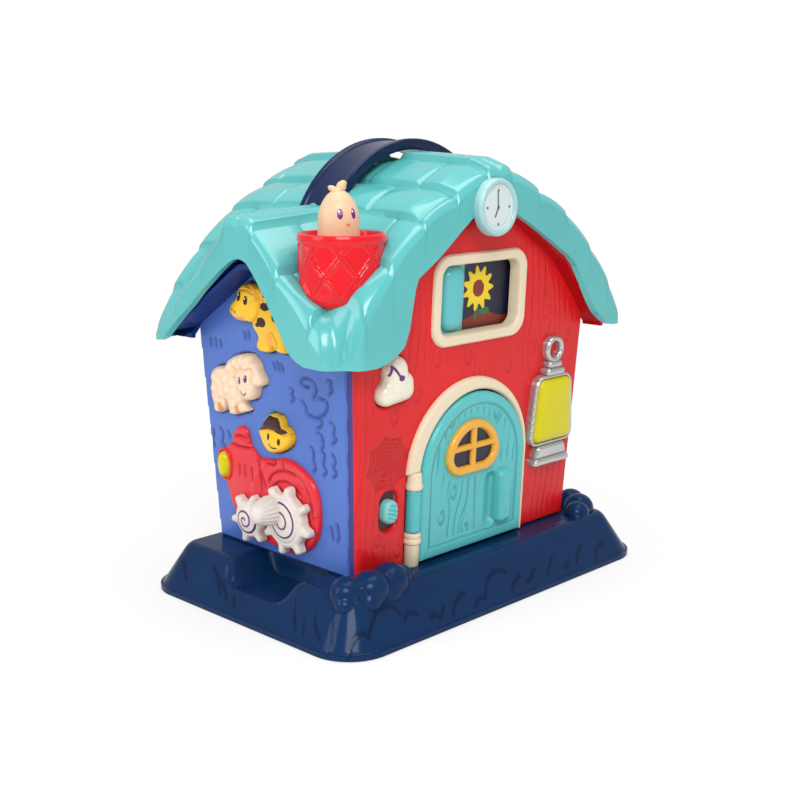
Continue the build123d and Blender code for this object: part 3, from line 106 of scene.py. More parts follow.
def smoothLoop(points, per=5, closed=True):
    n = len(points)
    out = []
    for i in range(n if closed else n - 1):
        p0, p1, p2, p3 = (np.array(points[(i + k) % n if closed else min(max(i + k, 0), n - 1)], float)
                          for k in (-1, 0, 1, 2))
        for k in range(per):
            t = k / per
            p = 0.5 * (2 * p1 + (p2 - p0) * t + (2 * p0 - 5 * p1 + 4 * p2 - p3) * t * t
                       + (3 * p1 - p0 - 3 * p2 + p3) * t ** 3)
            out.append((float(p[0]), float(p[1])))
    if not closed:
        out.append(tuple(map(float, points[-1])))
    return out


# heights over a flat outline
def rim(depth, radius, top):
    t = np.clip(depth / radius, 0, 1)
    return top - radius * (1 - np.sqrt(1 - (1 - t) ** 2))


def bump(x, y, cx, cy, rx, ry, rise):
    q = ((x - cx) / rx) ** 2 + ((y - cy) / ry) ** 2
    return rise * np.clip(1 - q, 0, 1) ** 2


def ease(v, low, high):
    t = np.clip((v - low) / (high - low), 0, 1)
    return t * t * (3 - 2 * t)


def strokes(x, y, lines, width):
    best = np.full(x.shape, 99.0)
    for line in lines:
        for (ax, ay), (bx, by) in zip(line[:-1], line[1:]):
            near = ((x > min(ax, bx) - 4 * width) & (x < max(ax, bx) + 4 * width)
                    & (y > min(ay, by) - 4 * width) & (y < max(ay, by) + 4 * width))
            if near.any():
                best[near] = np.minimum(best[near], capsule(x[near], y[near], ax, ay, bx, by, 0))
    return np.exp(-(best / width) ** 2)


def wander(x, y, seed):
    return (np.sin(0.071 * x + 0.033 * y + seed) + np.sin(0.128 * y - 0.052 * x + 2.3 * seed)
            + np.sin(0.043 * y + 0.117 * x + 4.1 * seed)
            + 0.6 * np.sin(0.24 * y + 0.09 * x + 1.7 * seed)) / 3.6


def woodGrain(x, y, knots, pitch, width, seed, cover=0.1):
    flow = x + 1.6 * np.sin(0.035 * y + seed) + 0.9 * np.sin(0.083 * y + 0.05 * x + 2 * seed)
    ring = np.zeros(x.shape)
    inKnot = np.zeros(x.shape)
    for kx, ky, r in knots:
        dx, dy = x - kx, (y - ky) / 1.9
        q = np.hypot(dx, dy)
        flow = flow - r * r * dx / np.maximum(q * q, (0.85 * r) ** 2)
        turn = q + 0.28 * pitch * np.arctan2(dy, dx) / math.pi
        lap = np.abs((turn / (0.62 * pitch)) % 1 - 0.5) * 0.62 * pitch
        near = 1 - ease(q, 0.8 * r, 0.95 * r)
        ring = np.maximum(ring, near * np.exp(-(lap / width) ** 2))
        inKnot = np.maximum(inKnot, near)
    lap = np.abs((flow / pitch) % 1 - 0.5) * pitch
    line = np.exp(-(lap / width) ** 2) * ease(wander(x, 0.5 * y, seed), -cover, 0.25 - cover)
    return np.maximum(line * (1 - inKnot), ring)


def gridMesh(name, points, faces, creaseShade=None, sharp=38):
    mesh = bpy.data.meshes.new(name)
    mesh.from_pydata([tuple(p) for p in points], [], faces)
    mesh.validate()
    # painted shade per point, kept as a mesh attribute for the shader
    if creaseShade is not None and len(creaseShade) == len(mesh.vertices):
        tag = mesh.attributes.new("creaseShade", "FLOAT", "POINT")
        tag.data.foreach_set("value", np.asarray(creaseShade, np.float32))
    mesh.shade_smooth()
    mesh.set_sharp_from_angle(angle=math.radians(sharp))
    piece = bpy.data.objects.new(name, mesh)
    bpy.context.scene.collection.objects.link(piece)
    return piece


def relief(name, plane, shape, box, step, height, back, creaseShade=None, sharp=38):
    x0, y0, x1, y1 = box
    nx = int(math.ceil((x1 - x0) / step)) + 4
    ny = int(math.ceil((y1 - y0) / step)) + 4
    x, y = np.meshgrid(x0 - 1.5 * step + step * np.arange(nx), y0 - 1.5 * step + step * np.arange(ny))
    d = shape(x, y)
    near = np.abs(d) < 0.71 * step  # these grid points are drawn onto the outline
    held = (d < 0) | near
    e = 0.02
    for again in range(3):
        px, py = x[near], y[near]
        dn = shape(px, py)
        gx = (shape(px + e, py) - shape(px - e, py)) / (2 * e)
        gy = (shape(px, py + e) - shape(px, py - e)) / (2 * e)
        g = np.maximum(gx * gx + gy * gy, 0.25)
        x[near], y[near] = px - dn * gx / g, py - dn * gy / g
    index = np.arange(nx * ny).reshape(ny, nx)
    a, b, c, f = (index[:-1, :-1], index[:-1, 1:], index[1:, 1:], index[1:, :-1])
    corners = np.stack([a, b, c, f], -1).reshape(-1, 4)
    ok = held.ravel()[corners]
    count = ok.sum(1)
    quads = corners[count == 4]
    threes = corners[count == 3]
    kept = [[v for v, k in zip(q, m) if k] for q, m in zip(threes, ok[count == 3])]
    tris = np.array(kept, int).reshape(-1, 3)
    xf, yf = x.ravel(), y.ravel()
    for faces in (quads, tris):
        if len(faces):
            mid = shape(xf[faces].mean(1), yf[faces].mean(1))
            faces[mid > 0.12 * step] = -1
    quads, tris = quads[(quads >= 0).all(1)], tris[(tris >= 0).all(1)] if len(tris) else tris
    used = np.unique(np.concatenate([quads.ravel(), tris.ravel()]).astype(int))
    slotOf = np.full(nx * ny, -1)
    slotOf[used] = np.arange(len(used))
    xs, ys = xf[used], yf[used]
    depth = np.maximum(-shape(xs, ys), 0)
    top = height(xs, ys, depth) + np.zeros(len(xs))
    faces = [tuple(q) for q in slotOf[quads]] + [tuple(t) for t in slotOf[tris]]
    directed = np.concatenate([np.stack([q[:, k], q[:, (k + 1) % q.shape[1]]], 1)
                               for q in (slotOf[quads], slotOf[tris]) if len(q) for k in range(q.shape[1])])
    size = len(used)
    code = directed[:, 0].astype(np.int64) * size + directed[:, 1]
    edge = directed[~np.isin(code, directed[:, 1].astype(np.int64) * size + directed[:, 0])]
    ends = np.unique(edge)  # open edges get a side down to the back
    lower = np.full(size, -1)
    lower[ends] = size + np.arange(len(ends))
    base = back(xs[ends], ys[ends]) if callable(back) else np.full(len(ends), float(back))
    faces += [(int(q), int(p), int(lower[p]), int(lower[q])) for p, q in edge]
    points = np.concatenate([place(plane, xs, ys, top), place(plane, xs[ends], ys[ends], base)])
    marks = None
    # painted shade: optional values from 0 to 1 that darken grooves in the shader
    if creaseShade is not None:
        marks = np.concatenate([np.clip(creaseShade(xs, ys), 0, 1), np.zeros(len(ends))])
    return gridMesh(name, points, faces, marks, sharp)


def sweep(name, rows, closedRow=False, closedLoop=False, creaseShade=None, sharp=38):
    rows = np.asarray(rows, float)
    n, m = rows.shape[:2]
    faces = []
    for i in range(n if closedLoop else n - 1):
        for j in range(m if closedRow else m - 1):
            k, l = (i + 1) % n, (j + 1) % m
            faces.append((i * m + j, i * m + l, k * m + l, k * m + j))
    return gridMesh(name, rows.reshape(-1, 3) * 0.001, faces, creaseShade, sharp)


def lathe(name, profile, origin, axis, segments=64, wave=None, sharp=38):
    axis = Vector(axis).normalized()
    side = axis.orthogonal().normalized()
    over = axis.cross(side)
    rows = []
    for r, h in profile:
        row = []
        for k in range(segments):
            a = 2 * math.pi * k / segments
            rr = r + (wave(a, h, r) if wave else 0)
            row.append(Vector(origin) + axis * h + (side * math.cos(a) + over * math.sin(a)) * rr)
        rows.append(row)
    return sweep(name, rows, closedRow=True, sharp=sharp)


def clay(name, blobs, voxel, rounds=4):
    bm = bmesh.new()
    for centre, radii in blobs:
        spot = Matrix.Translation(Vector(centre) * 0.001) @ Matrix.Diagonal((*(Vector(radii) * 0.001), 1))
        bmesh.ops.create_icosphere(bm, subdivisions=4, radius=1, matrix=spot)
    mesh = bpy.data.meshes.new(name)
    bm.to_mesh(mesh)
    bm.free()
    piece = bpy.data.objects.new(name, mesh)
    bpy.context.scene.collection.objects.link(piece)
    meld = piece.modifiers.new("meld", "REMESH")
    meld.mode, meld.voxel_size = "VOXEL", voxel * 0.001
    soften = piece.modifiers.new("soften", "SMOOTH")
    soften.factor, soften.iterations = 0.5, rounds
    bpy.context.view_layer.update()
    shaped = bpy.data.meshes.new_from_object(piece.evaluated_get(bpy.context.evaluated_depsgraph_get()))
    piece.modifiers.clear()
    piece.data = shaped
    shaped.shade_smooth()
    return piece


# shader groups shared by the materials
def colour(r, g, b):
    return tuple(v / 12.92 if v <= 0.04045 else ((v + 0.055) / 1.055) ** 2.4
                 for v in (r / 255, g / 255, b / 255)) + (1.0,)


def newGroup(name, inputs, outputs):
    tree = bpy.data.node_groups.new(name, "ShaderNodeTree")
    for label, kind in inputs:
        tree.interface.new_socket(name=label, in_out="INPUT", socket_type=kind)
    for label, kind in outputs:
        tree.interface.new_socket(name=label, in_out="OUTPUT", socket_type=kind)
    return tree, tree.nodes.new("NodeGroupInput"), tree.nodes.new("NodeGroupOutput")


def node(tree, kind, **settings):
    made = tree.nodes.new(kind)
    for key, value in settings.items():
        setattr(made, key, value)
    return made


def mixColours(tree, factor, first, second, blend="MIX"):
    mix = node(tree, "ShaderNodeMix", data_type="RGBA", blend_type=blend)
    tree.links.new(factor, mix.inputs[0])
    tree.links.new(first, mix.inputs[6])
    tree.links.new(second, mix.inputs[7])
    return mix.outputs[2]


def mapped(tree, value, low, high, outLow, outHigh):
    r = node(tree, "ShaderNodeMapRange", clamp=True)
    tree.links.new(value, r.inputs[0])
    for k, v in enumerate((low, high, outLow, outHigh)):
        r.inputs[k + 1].default_value = v
    return r.outputs[0]


# moulded plastic: soft clouds of tone, painted shade in creases and grooves, fine surface grain
tone, into, out = newGroup("mouldedTone", [("Tint", "NodeSocketColor"), ("Shade", "NodeSocketColor"),
                                           ("Sheen", "NodeSocketFloat"), ("Grain", "NodeSocketFloat")],
                           [("Color", "NodeSocketColor"), ("Roughness", "NodeSocketFloat"),
                            ("Height", "NodeSocketFloat")])
where = node(tone, "ShaderNodeTexCoord")
cloud = node(tone, "ShaderNodeTexNoise")
cloud.inputs["Scale"].default_value, cloud.inputs["Detail"].default_value = 22, 3
fine = node(tone, "ShaderNodeTexNoise")
tone.links.new(where.outputs["Object"], cloud.inputs["Vector"])
tone.links.new(where.outputs["Object"], fine.inputs["Vector"])
tone.links.new(into.outputs["Grain"], fine.inputs["Scale"])
# painted shade: the per-point attribute mixes grooves and seams towards the Shade colour
mark = node(tone, "ShaderNodeAttribute", attribute_name="creaseShade")
hue = mixColours(tone, mapped(tone, cloud.outputs["Fac"], 0.35, 0.75, 0.0, 0.16), into.outputs["Tint"],
                 into.outputs["Shade"])
hue = mixColours(tone, mapped(tone, mark.outputs["Fac"], 0, 1, 0, 0.75), hue, into.outputs["Shade"])
tone.links.new(hue, out.inputs["Color"])
rough = node(tone, "ShaderNodeMath", operation="ADD")
tone.links.new(into.outputs["Sheen"], rough.inputs[0])
tone.links.new(mapped(tone, cloud.outputs["Fac"], 0.3, 0.7, -0.03, 0.05), rough.inputs[1])
tone.links.new(rough.outputs[0], out.inputs["Roughness"])
tone.links.new(fine.outputs["Fac"], out.inputs["Height"])


def plastic(name, tint, shade, sheen, coat, gloss=0.5, metal=0.0, grain=900, bumpiness=0.04):
    made = bpy.data.materials.new(name)
    made.use_nodes = True
    tree = made.node_tree
    surface = tree.nodes["Principled BSDF"]
    group = node(tree, "ShaderNodeGroup", node_tree=tone)
    group.inputs["Tint"].default_value = colour(*tint)
    group.inputs["Shade"].default_value = colour(*shade)
    group.inputs["Sheen"].default_value = sheen
    group.inputs["Grain"].default_value = grain
    dent = node(tree, "ShaderNodeBump")
    dent.inputs["Strength"].default_value = bumpiness
    dent.inputs["Distance"].default_value = 0.0006
    tree.links.new(group.outputs["Color"], surface.inputs["Base Color"])
    tree.links.new(group.outputs["Roughness"], surface.inputs["Roughness"])
    tree.links.new(group.outputs["Height"], dent.inputs["Height"])
    tree.links.new(dent.outputs["Normal"], surface.inputs["Normal"])
    surface.inputs["Metallic"].default_value = metal
    surface.inputs["Specular IOR Level"].default_value = gloss
    surface.inputs["Coat Weight"].default_value = coat
    surface.inputs["Coat Roughness"].default_value = 0.08
    return made


finishes = {
    "baseNavy": dict(tint=(12, 44, 84), shade=(3, 12, 34), sheen=0.2, coat=0.1, gloss=0.1),
    "wallRed": dict(tint=(214, 24, 28), shade=(132, 8, 12), sheen=0.3, coat=0.1, gloss=0.26),
    # painted shade: darker copy of the wall red for the eave undersides
    "soffitShadeRed": dict(tint=(176, 8, 14), shade=(120, 4, 8), sheen=0.4, coat=0.0, gloss=0.2),
    "wallBlue": dict(tint=(74, 112, 192), shade=(22, 42, 116), sheen=0.36, coat=0.1, gloss=0.4),
    # painted shade: darker copy of the wall blue for the eave undersides
    "soffitShadeBlue": dict(tint=(24, 52, 122), shade=(12, 30, 84), sheen=0.4, coat=0.0, gloss=0.2),
    # painted shade: a darker blue for the corner bands
    "cornerShadeBlue": dict(tint=(62, 54, 128), shade=(34, 26, 84), sheen=0.4, coat=0.05, gloss=0.3),
    "roofTeal": dict(tint=(84, 178, 177), shade=(36, 124, 127), sheen=0.22, coat=0.45),
    "handleNavy": dict(tint=(16, 34, 72), shade=(6, 12, 32), sheen=0.2, coat=0.16, gloss=0.16),
    "cream": dict(tint=(226, 210, 182), shade=(184, 162, 126), sheen=0.34, coat=0.12, gloss=0.3),
    "clockRim": dict(tint=(158, 200, 202), shade=(98, 142, 148), sheen=0.28, coat=0.25),
    "clockFace": dict(tint=(206, 218, 216), shade=(150, 168, 170), sheen=0.35, coat=0.1),
    "inkGrey": dict(tint=(84, 92, 98), shade=(50, 56, 62), sheen=0.4, coat=0.1),
    "basketRed": dict(tint=(218, 14, 28), shade=(138, 5, 16), sheen=0.22, coat=0.3, gloss=0.24),
    "chickCream": dict(tint=(221, 186, 151), shade=(208, 148, 94), sheen=0.34, coat=0.12, gloss=0.3),
    "inkPurple": dict(tint=(92, 28, 112), shade=(48, 12, 64), sheen=0.3, coat=0.3),
    "inkWhite": dict(tint=(252, 250, 248), shade=(226, 222, 220), sheen=0.3, coat=0.3),
    "cheekPink": dict(tint=(252, 176, 158), shade=(240, 150, 130), sheen=0.45, coat=0.1),
    "beakOrange": dict(tint=(232, 128, 52), shade=(196, 92, 30), sheen=0.35, coat=0.2),
    "shutterTeal": dict(tint=(86, 184, 188), shade=(40, 112, 118), sheen=0.25, coat=0.35),
    "cardNavy": dict(tint=(18, 22, 50), shade=(8, 10, 26), sheen=0.45, coat=0.1),
    "petalYellow": dict(tint=(236, 206, 26), shade=(210, 158, 16), sheen=0.45, coat=0.1),
    "earthBrown": dict(tint=(128, 40, 22), shade=(84, 24, 14), sheen=0.45, coat=0.1),
    "doorTeal": dict(tint=(84, 184, 186), shade=(36, 128, 134), sheen=0.28, coat=0.2, gloss=0.35),
    "paneYellow": dict(tint=(226, 166, 44), shade=(186, 118, 26), sheen=0.3, coat=0.25),
    "bellPearl": dict(tint=(228, 222, 204), shade=(184, 174, 148), sheen=0.26, coat=0.35),
    "switchTeal": dict(tint=(122, 206, 204), shade=(56, 140, 142), sheen=0.3, coat=0.25),
    # painted shade: dark red for the switch well
    "slotShade": dict(tint=(70, 10, 12), shade=(36, 4, 6), sheen=0.5, coat=0.0),
    "silver": dict(tint=(190, 190, 190), shade=(104, 104, 104), sheen=0.16, coat=0.3, metal=0.7),
    "lensYellow": dict(tint=(208, 198, 3), shade=(156, 142, 2), sheen=0.12, coat=0.25, gloss=0.2),
    "cowYellow": dict(tint=(240, 190, 36), shade=(206, 126, 18), sheen=0.3, coat=0.18, gloss=0.3),
    "spotBrown": dict(tint=(48, 12, 10), shade=(24, 5, 4), sheen=0.35, coat=0.15, gloss=0.3),
    "sheepCream": dict(tint=(236, 206, 176), shade=(206, 152, 108), sheen=0.34, coat=0.12, gloss=0.3),
    # painted shade: orange between the cow's legs
    "legShadeOrange": dict(tint=(240, 166, 40), shade=(206, 120, 20), sheen=0.4, coat=0.1),
    # tan for the printed cow mouth, and painted shade between the sheep's legs
    "tanInkAndLegShade": dict(tint=(214, 146, 84), shade=(170, 100, 48), sheen=0.4, coat=0.1),
    "tractorRed": dict(tint=(224, 40, 52), shade=(150, 14, 26), sheen=0.28, coat=0.2, gloss=0.3),
    "gearCream": dict(tint=(220, 212, 202), shade=(170, 158, 162), sheen=0.33, coat=0.15, gloss=0.3),
    "roomBrown": dict(tint=(84, 26, 20), shade=(46, 12, 10), sheen=0.5, coat=0.0),
    "innerGrey": dict(tint=(120, 122, 126), shade=(80, 82, 86), sheen=0.45, coat=0.0),
    "boardGreen": dict(tint=(40, 106, 62), shade=(22, 70, 40), sheen=0.4, coat=0.1),
    "padRubber": dict(tint=(70, 70, 74), shade=(44, 44, 48), sheen=0.7, coat=0.0),
    "steel": dict(tint=(186, 188, 190), shade=(130, 132, 136), sheen=0.3, coat=0.0, metal=0.9),
    "cellJacket": dict(tint=(44, 46, 52), shade=(24, 26, 30), sheen=0.3, coat=0.3),
}
looks = {name: plastic(name, **finish) for name, finish in finishes.items()}
print("stage materials", len(looks))


def settle(piece, body, look, nodes=()):
    piece.data.materials.clear()
    piece.data.materials.append(looks[look])
    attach(piece, body)
    if nodes:
        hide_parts(*nodes)
    return piece


# CAD pieces that keep their own mesh
plainLooks = {
    "baseNavy": ("base_plate", "battery_door"),
    "steel": ("battery_door_screw", "battery_contacts", "base_screws", "handle_screws", "hinge_pin"),
    "cellJacket": ("batteries",),
    # soffits take the darker wall colours as painted shade
    "soffitShadeRed": ("front_soffit",),
    "soffitShadeBlue": ("back_soffit", "left_soffit", "right_soffit"),
    "chickCream": ("chick_clip",),
    "innerGrey": ("shutter_track", "switch_body", "gear_axles", "speaker_clamp"),
    "roomBrown": ("room_liner",),
    "boardGreen": ("front_button_board", "left_button_board", "main_board"),
    "padRubber": ("bell_pad", "left_button_pads", "speaker"),
    "lensYellow": ("lamps",),
}
for look, names in plainLooks.items():
    for name in names:
        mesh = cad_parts[name].data
        mesh.materials.clear()
        mesh.materials.append(looks[look])

# camera at the photograph's view
cameraLook = {"spot": (-0.5654, -0.5491, 0.280), "gaze": (0.6995, 0.6826, -0.2113), "lens": 58.05,
              "sensor": 36}
lens = bpy.data.cameras.new("photoView")
lens.lens, lens.sensor_width, lens.clip_start = cameraLook["lens"], cameraLook["sensor"], 0.05
camera = bpy.data.objects.new("photoView", lens)
bpy.context.scene.collection.objects.link(camera)
gaze = Vector(cameraLook["gaze"]).normalized()
side = gaze.cross(Vector((0, 0, 1))).normalized()
turn = Matrix((side, side.cross(gaze), -gaze)).transposed().to_4x4()
camera.matrix_world = Matrix.Translation(cameraLook["spot"]) @ turn
bpy.context.scene.camera = camera

# pale floor and soft studio light
floorLook = {"size": 6, "under": -0.0005, "grey": 0.86, "rough": 0.8, "near": 0.12, "far": 0.34,
             "shadow": 0.62}
bpy.ops.mesh.primitive_plane_add(size=floorLook["size"], location=(0, 0, floorLook["under"]))
floor = bpy.context.object
floor.name = "floor"
ground = bpy.data.materials.new("paleFloor")
ground.use_nodes = True
tree = ground.node_tree
matt = tree.nodes["Principled BSDF"]
matt.inputs["Base Color"].default_value = (floorLook["grey"],) * 3 + (1,)
matt.inputs["Roughness"].default_value = floorLook["rough"]
glow = node(tree, "ShaderNodeEmission")
glow.inputs["Strength"].default_value = 1.0
seen = node(tree, "ShaderNodeLightPath")
where = node(tree, "ShaderNodeTexCoord")
reach = node(tree, "ShaderNodeVectorMath", operation="LENGTH")
tree.links.new(where.outputs["Object"], reach.inputs[0])
share = node(tree, "ShaderNodeMath", operation="MULTIPLY")
tree.links.new(seen.outputs["Is Camera Ray"], share.inputs[0])
# the floor turns white away from the toy and keeps its shadow near it
white = mapped(tree, reach.outputs["Value"], floorLook["near"], floorLook["far"], floorLook["shadow"], 1.0)
tree.links.new(white, share.inputs[1])
blend = node(tree, "ShaderNodeMixShader")
tree.links.new(share.outputs[0], blend.inputs[0])
tree.links.new(matt.outputs[0], blend.inputs[1])
tree.links.new(glow.outputs[0], blend.inputs[2])
tree.links.new(blend.outputs[0], tree.nodes["Material Output"].inputs[0])
floor.data.materials.append(ground)

worldGlow = 0.62
world = bpy.data.worlds.new("studio")
bpy.context.scene.world = world
world.use_nodes = True
tree = world.node_tree
soft = tree.nodes["Background"]
soft.inputs[0].default_value, soft.inputs[1].default_value = (1, 1, 1, 1), worldGlow
white = node(tree, "ShaderNodeBackground")
white.inputs[0].default_value, white.inputs[1].default_value = (1, 1, 1, 1), 1.0
seen = node(tree, "ShaderNodeLightPath")
blend = node(tree, "ShaderNodeMixShader")
tree.links.new(seen.outputs["Is Camera Ray"], blend.inputs[0])
tree.links.new(soft.outputs[0], blend.inputs[1])
tree.links.new(white.outputs[0], blend.inputs[2])
tree.links.new(blend.outputs[0], tree.nodes["World Output"].inputs[0])


def softbox(name, spot, aim, size, power):
    lamp = bpy.data.lights.new(name, "AREA")
    lamp.shape, lamp.size, lamp.size_y, lamp.energy = "RECTANGLE", size[0], size[1], power
    box = bpy.data.objects.new(name, lamp)
    box.location = spot
    box.rotation_euler = (Vector(aim) - Vector(spot)).to_track_quat("-Z", "Y").to_euler()
    bpy.context.scene.collection.objects.link(box)
    return box


lamps = {
    "keyLight": dict(spot=(-0.75, -0.85, 0.95), aim=(0, 0, 0.12), size=(0.7, 0.5), power=9),
    "topLight": dict(spot=(0.1, -0.1, 1.25), aim=(0, 0, 0.1), size=(0.9, 0.9), power=7.4),
    "sideLight": dict(spot=(-1.05, 0.3, 0.6), aim=(0, 0, 0.12), size=(0.5, 0.7), power=3.2),
}
for name, lamp in lamps.items():
    softbox(name, **lamp)
bpy.context.scene.view_settings.view_transform = "Standard"
print("stage camera, floor and light")

# places on the front wall and outlines that more than one piece uses
windowAt, switchAt, hingeAcross = (-2.2, 153), (-71, 37), -51.8
cowLine = smoothLoop([(-31.2, 146.2), (-28.2, 150.6), (-23.9, 153.4), (-22.6, 158.2), (-18.8, 161.6),
                      (-13.0, 162.4), (-6.7, 161.4), (-0.4, 159.5), (5.0, 157), (10.4, 153), (14.0, 146),
                      (15.8, 137), (17.1, 128.1), (16.1, 125.7), (11.6, 125.1), (7.1, 126.2), (5.6, 128.3),
                      (2.3, 124.9), (-4.1, 124.0), (-8.0, 125.2), (-9.2, 128.5), (-7.3, 132.8),
                      (-10.9, 137.0), (-12.2, 139.7), (-17.8, 140.2), (-25.2, 140.5), (-29.8, 142.8)])
sheepLine = smoothLoop([(-54.9, 98.3), (-53.2, 106.5), (-48.7, 109.7), (-41.2, 110.8), (-37.6, 115.0),
                        (-31.7, 118.3), (-23.6, 120.4), (-17.3, 120.4), (-14.5, 118.6), (-10.9, 115.6),
                        (-9.5, 111.2), (-6.3, 107.6), (-7.4, 103.9), (-12.1, 101.9), (-14.1, 96.9),
                        (-17.4, 93.9), (-25.3, 92.3), (-24.1, 88.5), (-22.0, 86.5), (-29.3, 83.9),
                        (-37.5, 82.0), (-39.6, 85.5), (-41.5, 90.5), (-43.6, 85.5), (-47.3, 82.0),
                        (-53.2, 81.9), (-54.0, 86.7), (-55.6, 91.4)])
farmerLine = smoothLoop([(-12.9, 76.8), (-9.1, 80.1), (-6.7, 83.6), (-3.5, 87.0), (-0.6, 88.0), (2.2, 87.4),
                         (5.7, 87.3), (7.6, 85.0), (8.3, 81.9), (12.1, 80.4), (14.4, 77.4), (14.1, 73.3),
                         (10.6, 69.5), (5.5, 66.6), (-0.3, 64.9), (-5.2, 64.9), (-9.3, 68.0), (-11.3, 71.8)])


def bellShape(x, y):
    d = joined(capsule(x, y, -71.5, 119, -70.5, 113, 8.2), capsule(x, y, -77.5, 106, -64.5, 107.5, 6.6), 4)
    return joined(d, disc(x, y, -64.5, 111.5, 6.2), 2)


doorLook = {"across": -2.5, "spring": 51.5, "opening": 46.3, "leaf": 45.3, "border": 38.5}


def doorArch(x, y, half, foot):
    return arch(x, y, doorLook["across"], half, doorLook["spring"], foot)


def doorOpening(x, y):
    return doorArch(x, y, doorLook["opening"], -9)


def pair(a, b, rx, ry):
    return lambda x, y: np.minimum(ellipse(x, y, a[0], a[1], rx, ry), ellipse(x, y, b[0], b[1], rx, ry))


def lineShape(points, r):
    line = smoothLoop(points, 4, False)

    def d(x, y):
        best = np.full(x.shape, 99.0)
        for (ax, ay), (bx, by) in zip(line[:-1], line[1:]):
            best = np.minimum(best, capsule(x, y, ax, ay, bx, by, r))
        return best
    return d


def spots(items):
    def d(x, y):
        best = np.full(x.shape, 99.0)
        for px, py, rx, ry in items:
            best = np.minimum(best, ellipse(x, y, px, py, rx, ry))
        return best
    return d


print("stage outlines")

# base with sloping skirt, engraved hills and the hand scoop
hillLines = [smoothLoop(p, 4, False) for p in (
    [(-128, -84), (-122.5, -81.5), (-115.3, -83.2), (-113.8, -85.2), (-108.8, -82.2), (-101.3, -79.4),
     (-91.7, -79.1), (-86.6, -82.4)], [(-86, -84.6), (-81, -82.9), (-75.7, -84.3)],
    [(-67.7, -86.9), (-63.5, -86.3), (-60, -87.6), (-54.6, -84.9)],
    [(-50.5, -88.2), (-47, -86.2), (-42.4, -84.4), (-35, -83.2)],
    [(-31.7, -88.8), (-26, -86.6), (-21, -86.9), (-13.8, -82.4), (-5, -80.3), (4, -81.5)],
    [(2.6, -88.2), (6.3, -86), (14.3, -84.6)], [(16.8, -87.2), (21, -86.8), (28.7, -84.2)],
    [(36.2, -87.9), (41.1, -85.6), (47.7, -82.9)], [(54, -88), (61, -86.2)],
    [(67, -87.6), (71, -84.9), (78, -82.6)], [(86, -88.4), (91, -85.5), (99, -84.2)])]
sideLines = [smoothLoop(p, 4, False) for p in (
    [(-121.9, 71.7), (-124, 64.6), (-128.7, 56.0)], [(-121.2, 38.3), (-124.0, 31.7), (-128.5, 23.6)],
    [(-124.4, 28.9), (-127.0, 21.2), (-129.8, 16)], [(-128, 12), (-131, 8)],
    [(-122.5, -36), (-126.1, -39.0), (-130.5, -45)], [(-127.0, -47.3), (-130.3, -51.3)],
    [(-123.3, -52.9), (-127.2, -57.5), (-130.3, -64.3)], [(-124.7, -67.7), (-129, -73)])]
skirtLines = hillLines + sideLines + [[(-a, -b) for a, b in line] for line in hillLines + sideLines]
baseLook = {"wide": 270, "deep": 184, "corner": 26, "lip": 3.0, "ledge": 1.5, "slope": 18.0, "top": 28.0,
            "round": 5, "stroke": 0.75, "line": 0.6, "step": 0.9}
scoopLook = {"mid": -1, "half": 24, "soft": 8, "inner": -89.6, "innerSoft": 1.8, "floor": 15}


def baseShape(x, y):
    return slab(x, y, 0, 0, baseLook["wide"], baseLook["deep"], baseLook["corner"])


def baseHeight(x, y, depth):
    lip, ledge, top = baseLook["lip"], baseLook["ledge"], baseLook["top"]
    skirt = lip + (depth - ledge) * (top - lip) / (baseLook["slope"] - ledge)
    z = joined(np.where(depth < ledge, lip, skirt), top + 0 * depth, baseLook["round"])
    z = z - baseLook["stroke"] * strokes(x, y, skirtLines, baseLook["line"])
    z = z + 0.35 * ease(depth, 23, 24) * (1 - ease(depth, 25.5, 26.5)) * (y < -60)  # low rib at the doorstep
    soft, innerSoft = scoopLook["soft"], scoopLook["innerSoft"]
    scoop = ease(scoopLook["half"] - np.abs(y - scoopLook["mid"]), -soft, soft)
    scoop = scoop * ease(scoopLook["inner"] - x, -innerSoft, innerSoft)
    return z * (1 - scoop) + np.minimum(z, scoopLook["floor"]) * scoop


halfWide, halfDeep = baseLook["wide"] / 2, baseLook["deep"] / 2
# painted shade darkens the engraved hill lines
base = relief("base", "plan", baseShape, (-halfWide, -halfDeep, halfWide, halfDeep), baseLook["step"],
              baseHeight, 0.0, lambda x, y: strokes(x, y, skirtLines, 0.7))
settle(base, "house", "baseNavy", ["base_tray"])
# bush lumps: shares of the base's half width and depth, and size
bushLook = {"radius": 9.5, "high": 28.5, "low": 24, "voxel": 0.9}
bushShares = [(-0.82, -0.70, 1.05), (-0.72, -0.755, 1.2), (-0.60, -0.74, 1.22), (-0.53, -0.725, 0.85),
              (0.71, -0.715, 0.9), (0.78, -0.65, 1.12), (0.825, -0.53, 1.1), (0.83, -0.41, 0.85)]
for k, group in enumerate((bushShares[:4], bushShares[4:])):
    lumps = []
    for px, py, size in group:
        r = bushLook["radius"] * size
        x, y = px * halfWide, py * halfDeep
        lumps.append(((x, y, bushLook["high"]), (r, r * 0.95, r * 0.98)))
        lumps.append(((x - 5, y - 4, bushLook["low"]), (r * 0.62, r * 0.62, r * 0.6)))
    settle(clay("bush%d" % k, lumps, bushLook["voxel"], 2), "house", "baseNavy", ())
print("stage base")

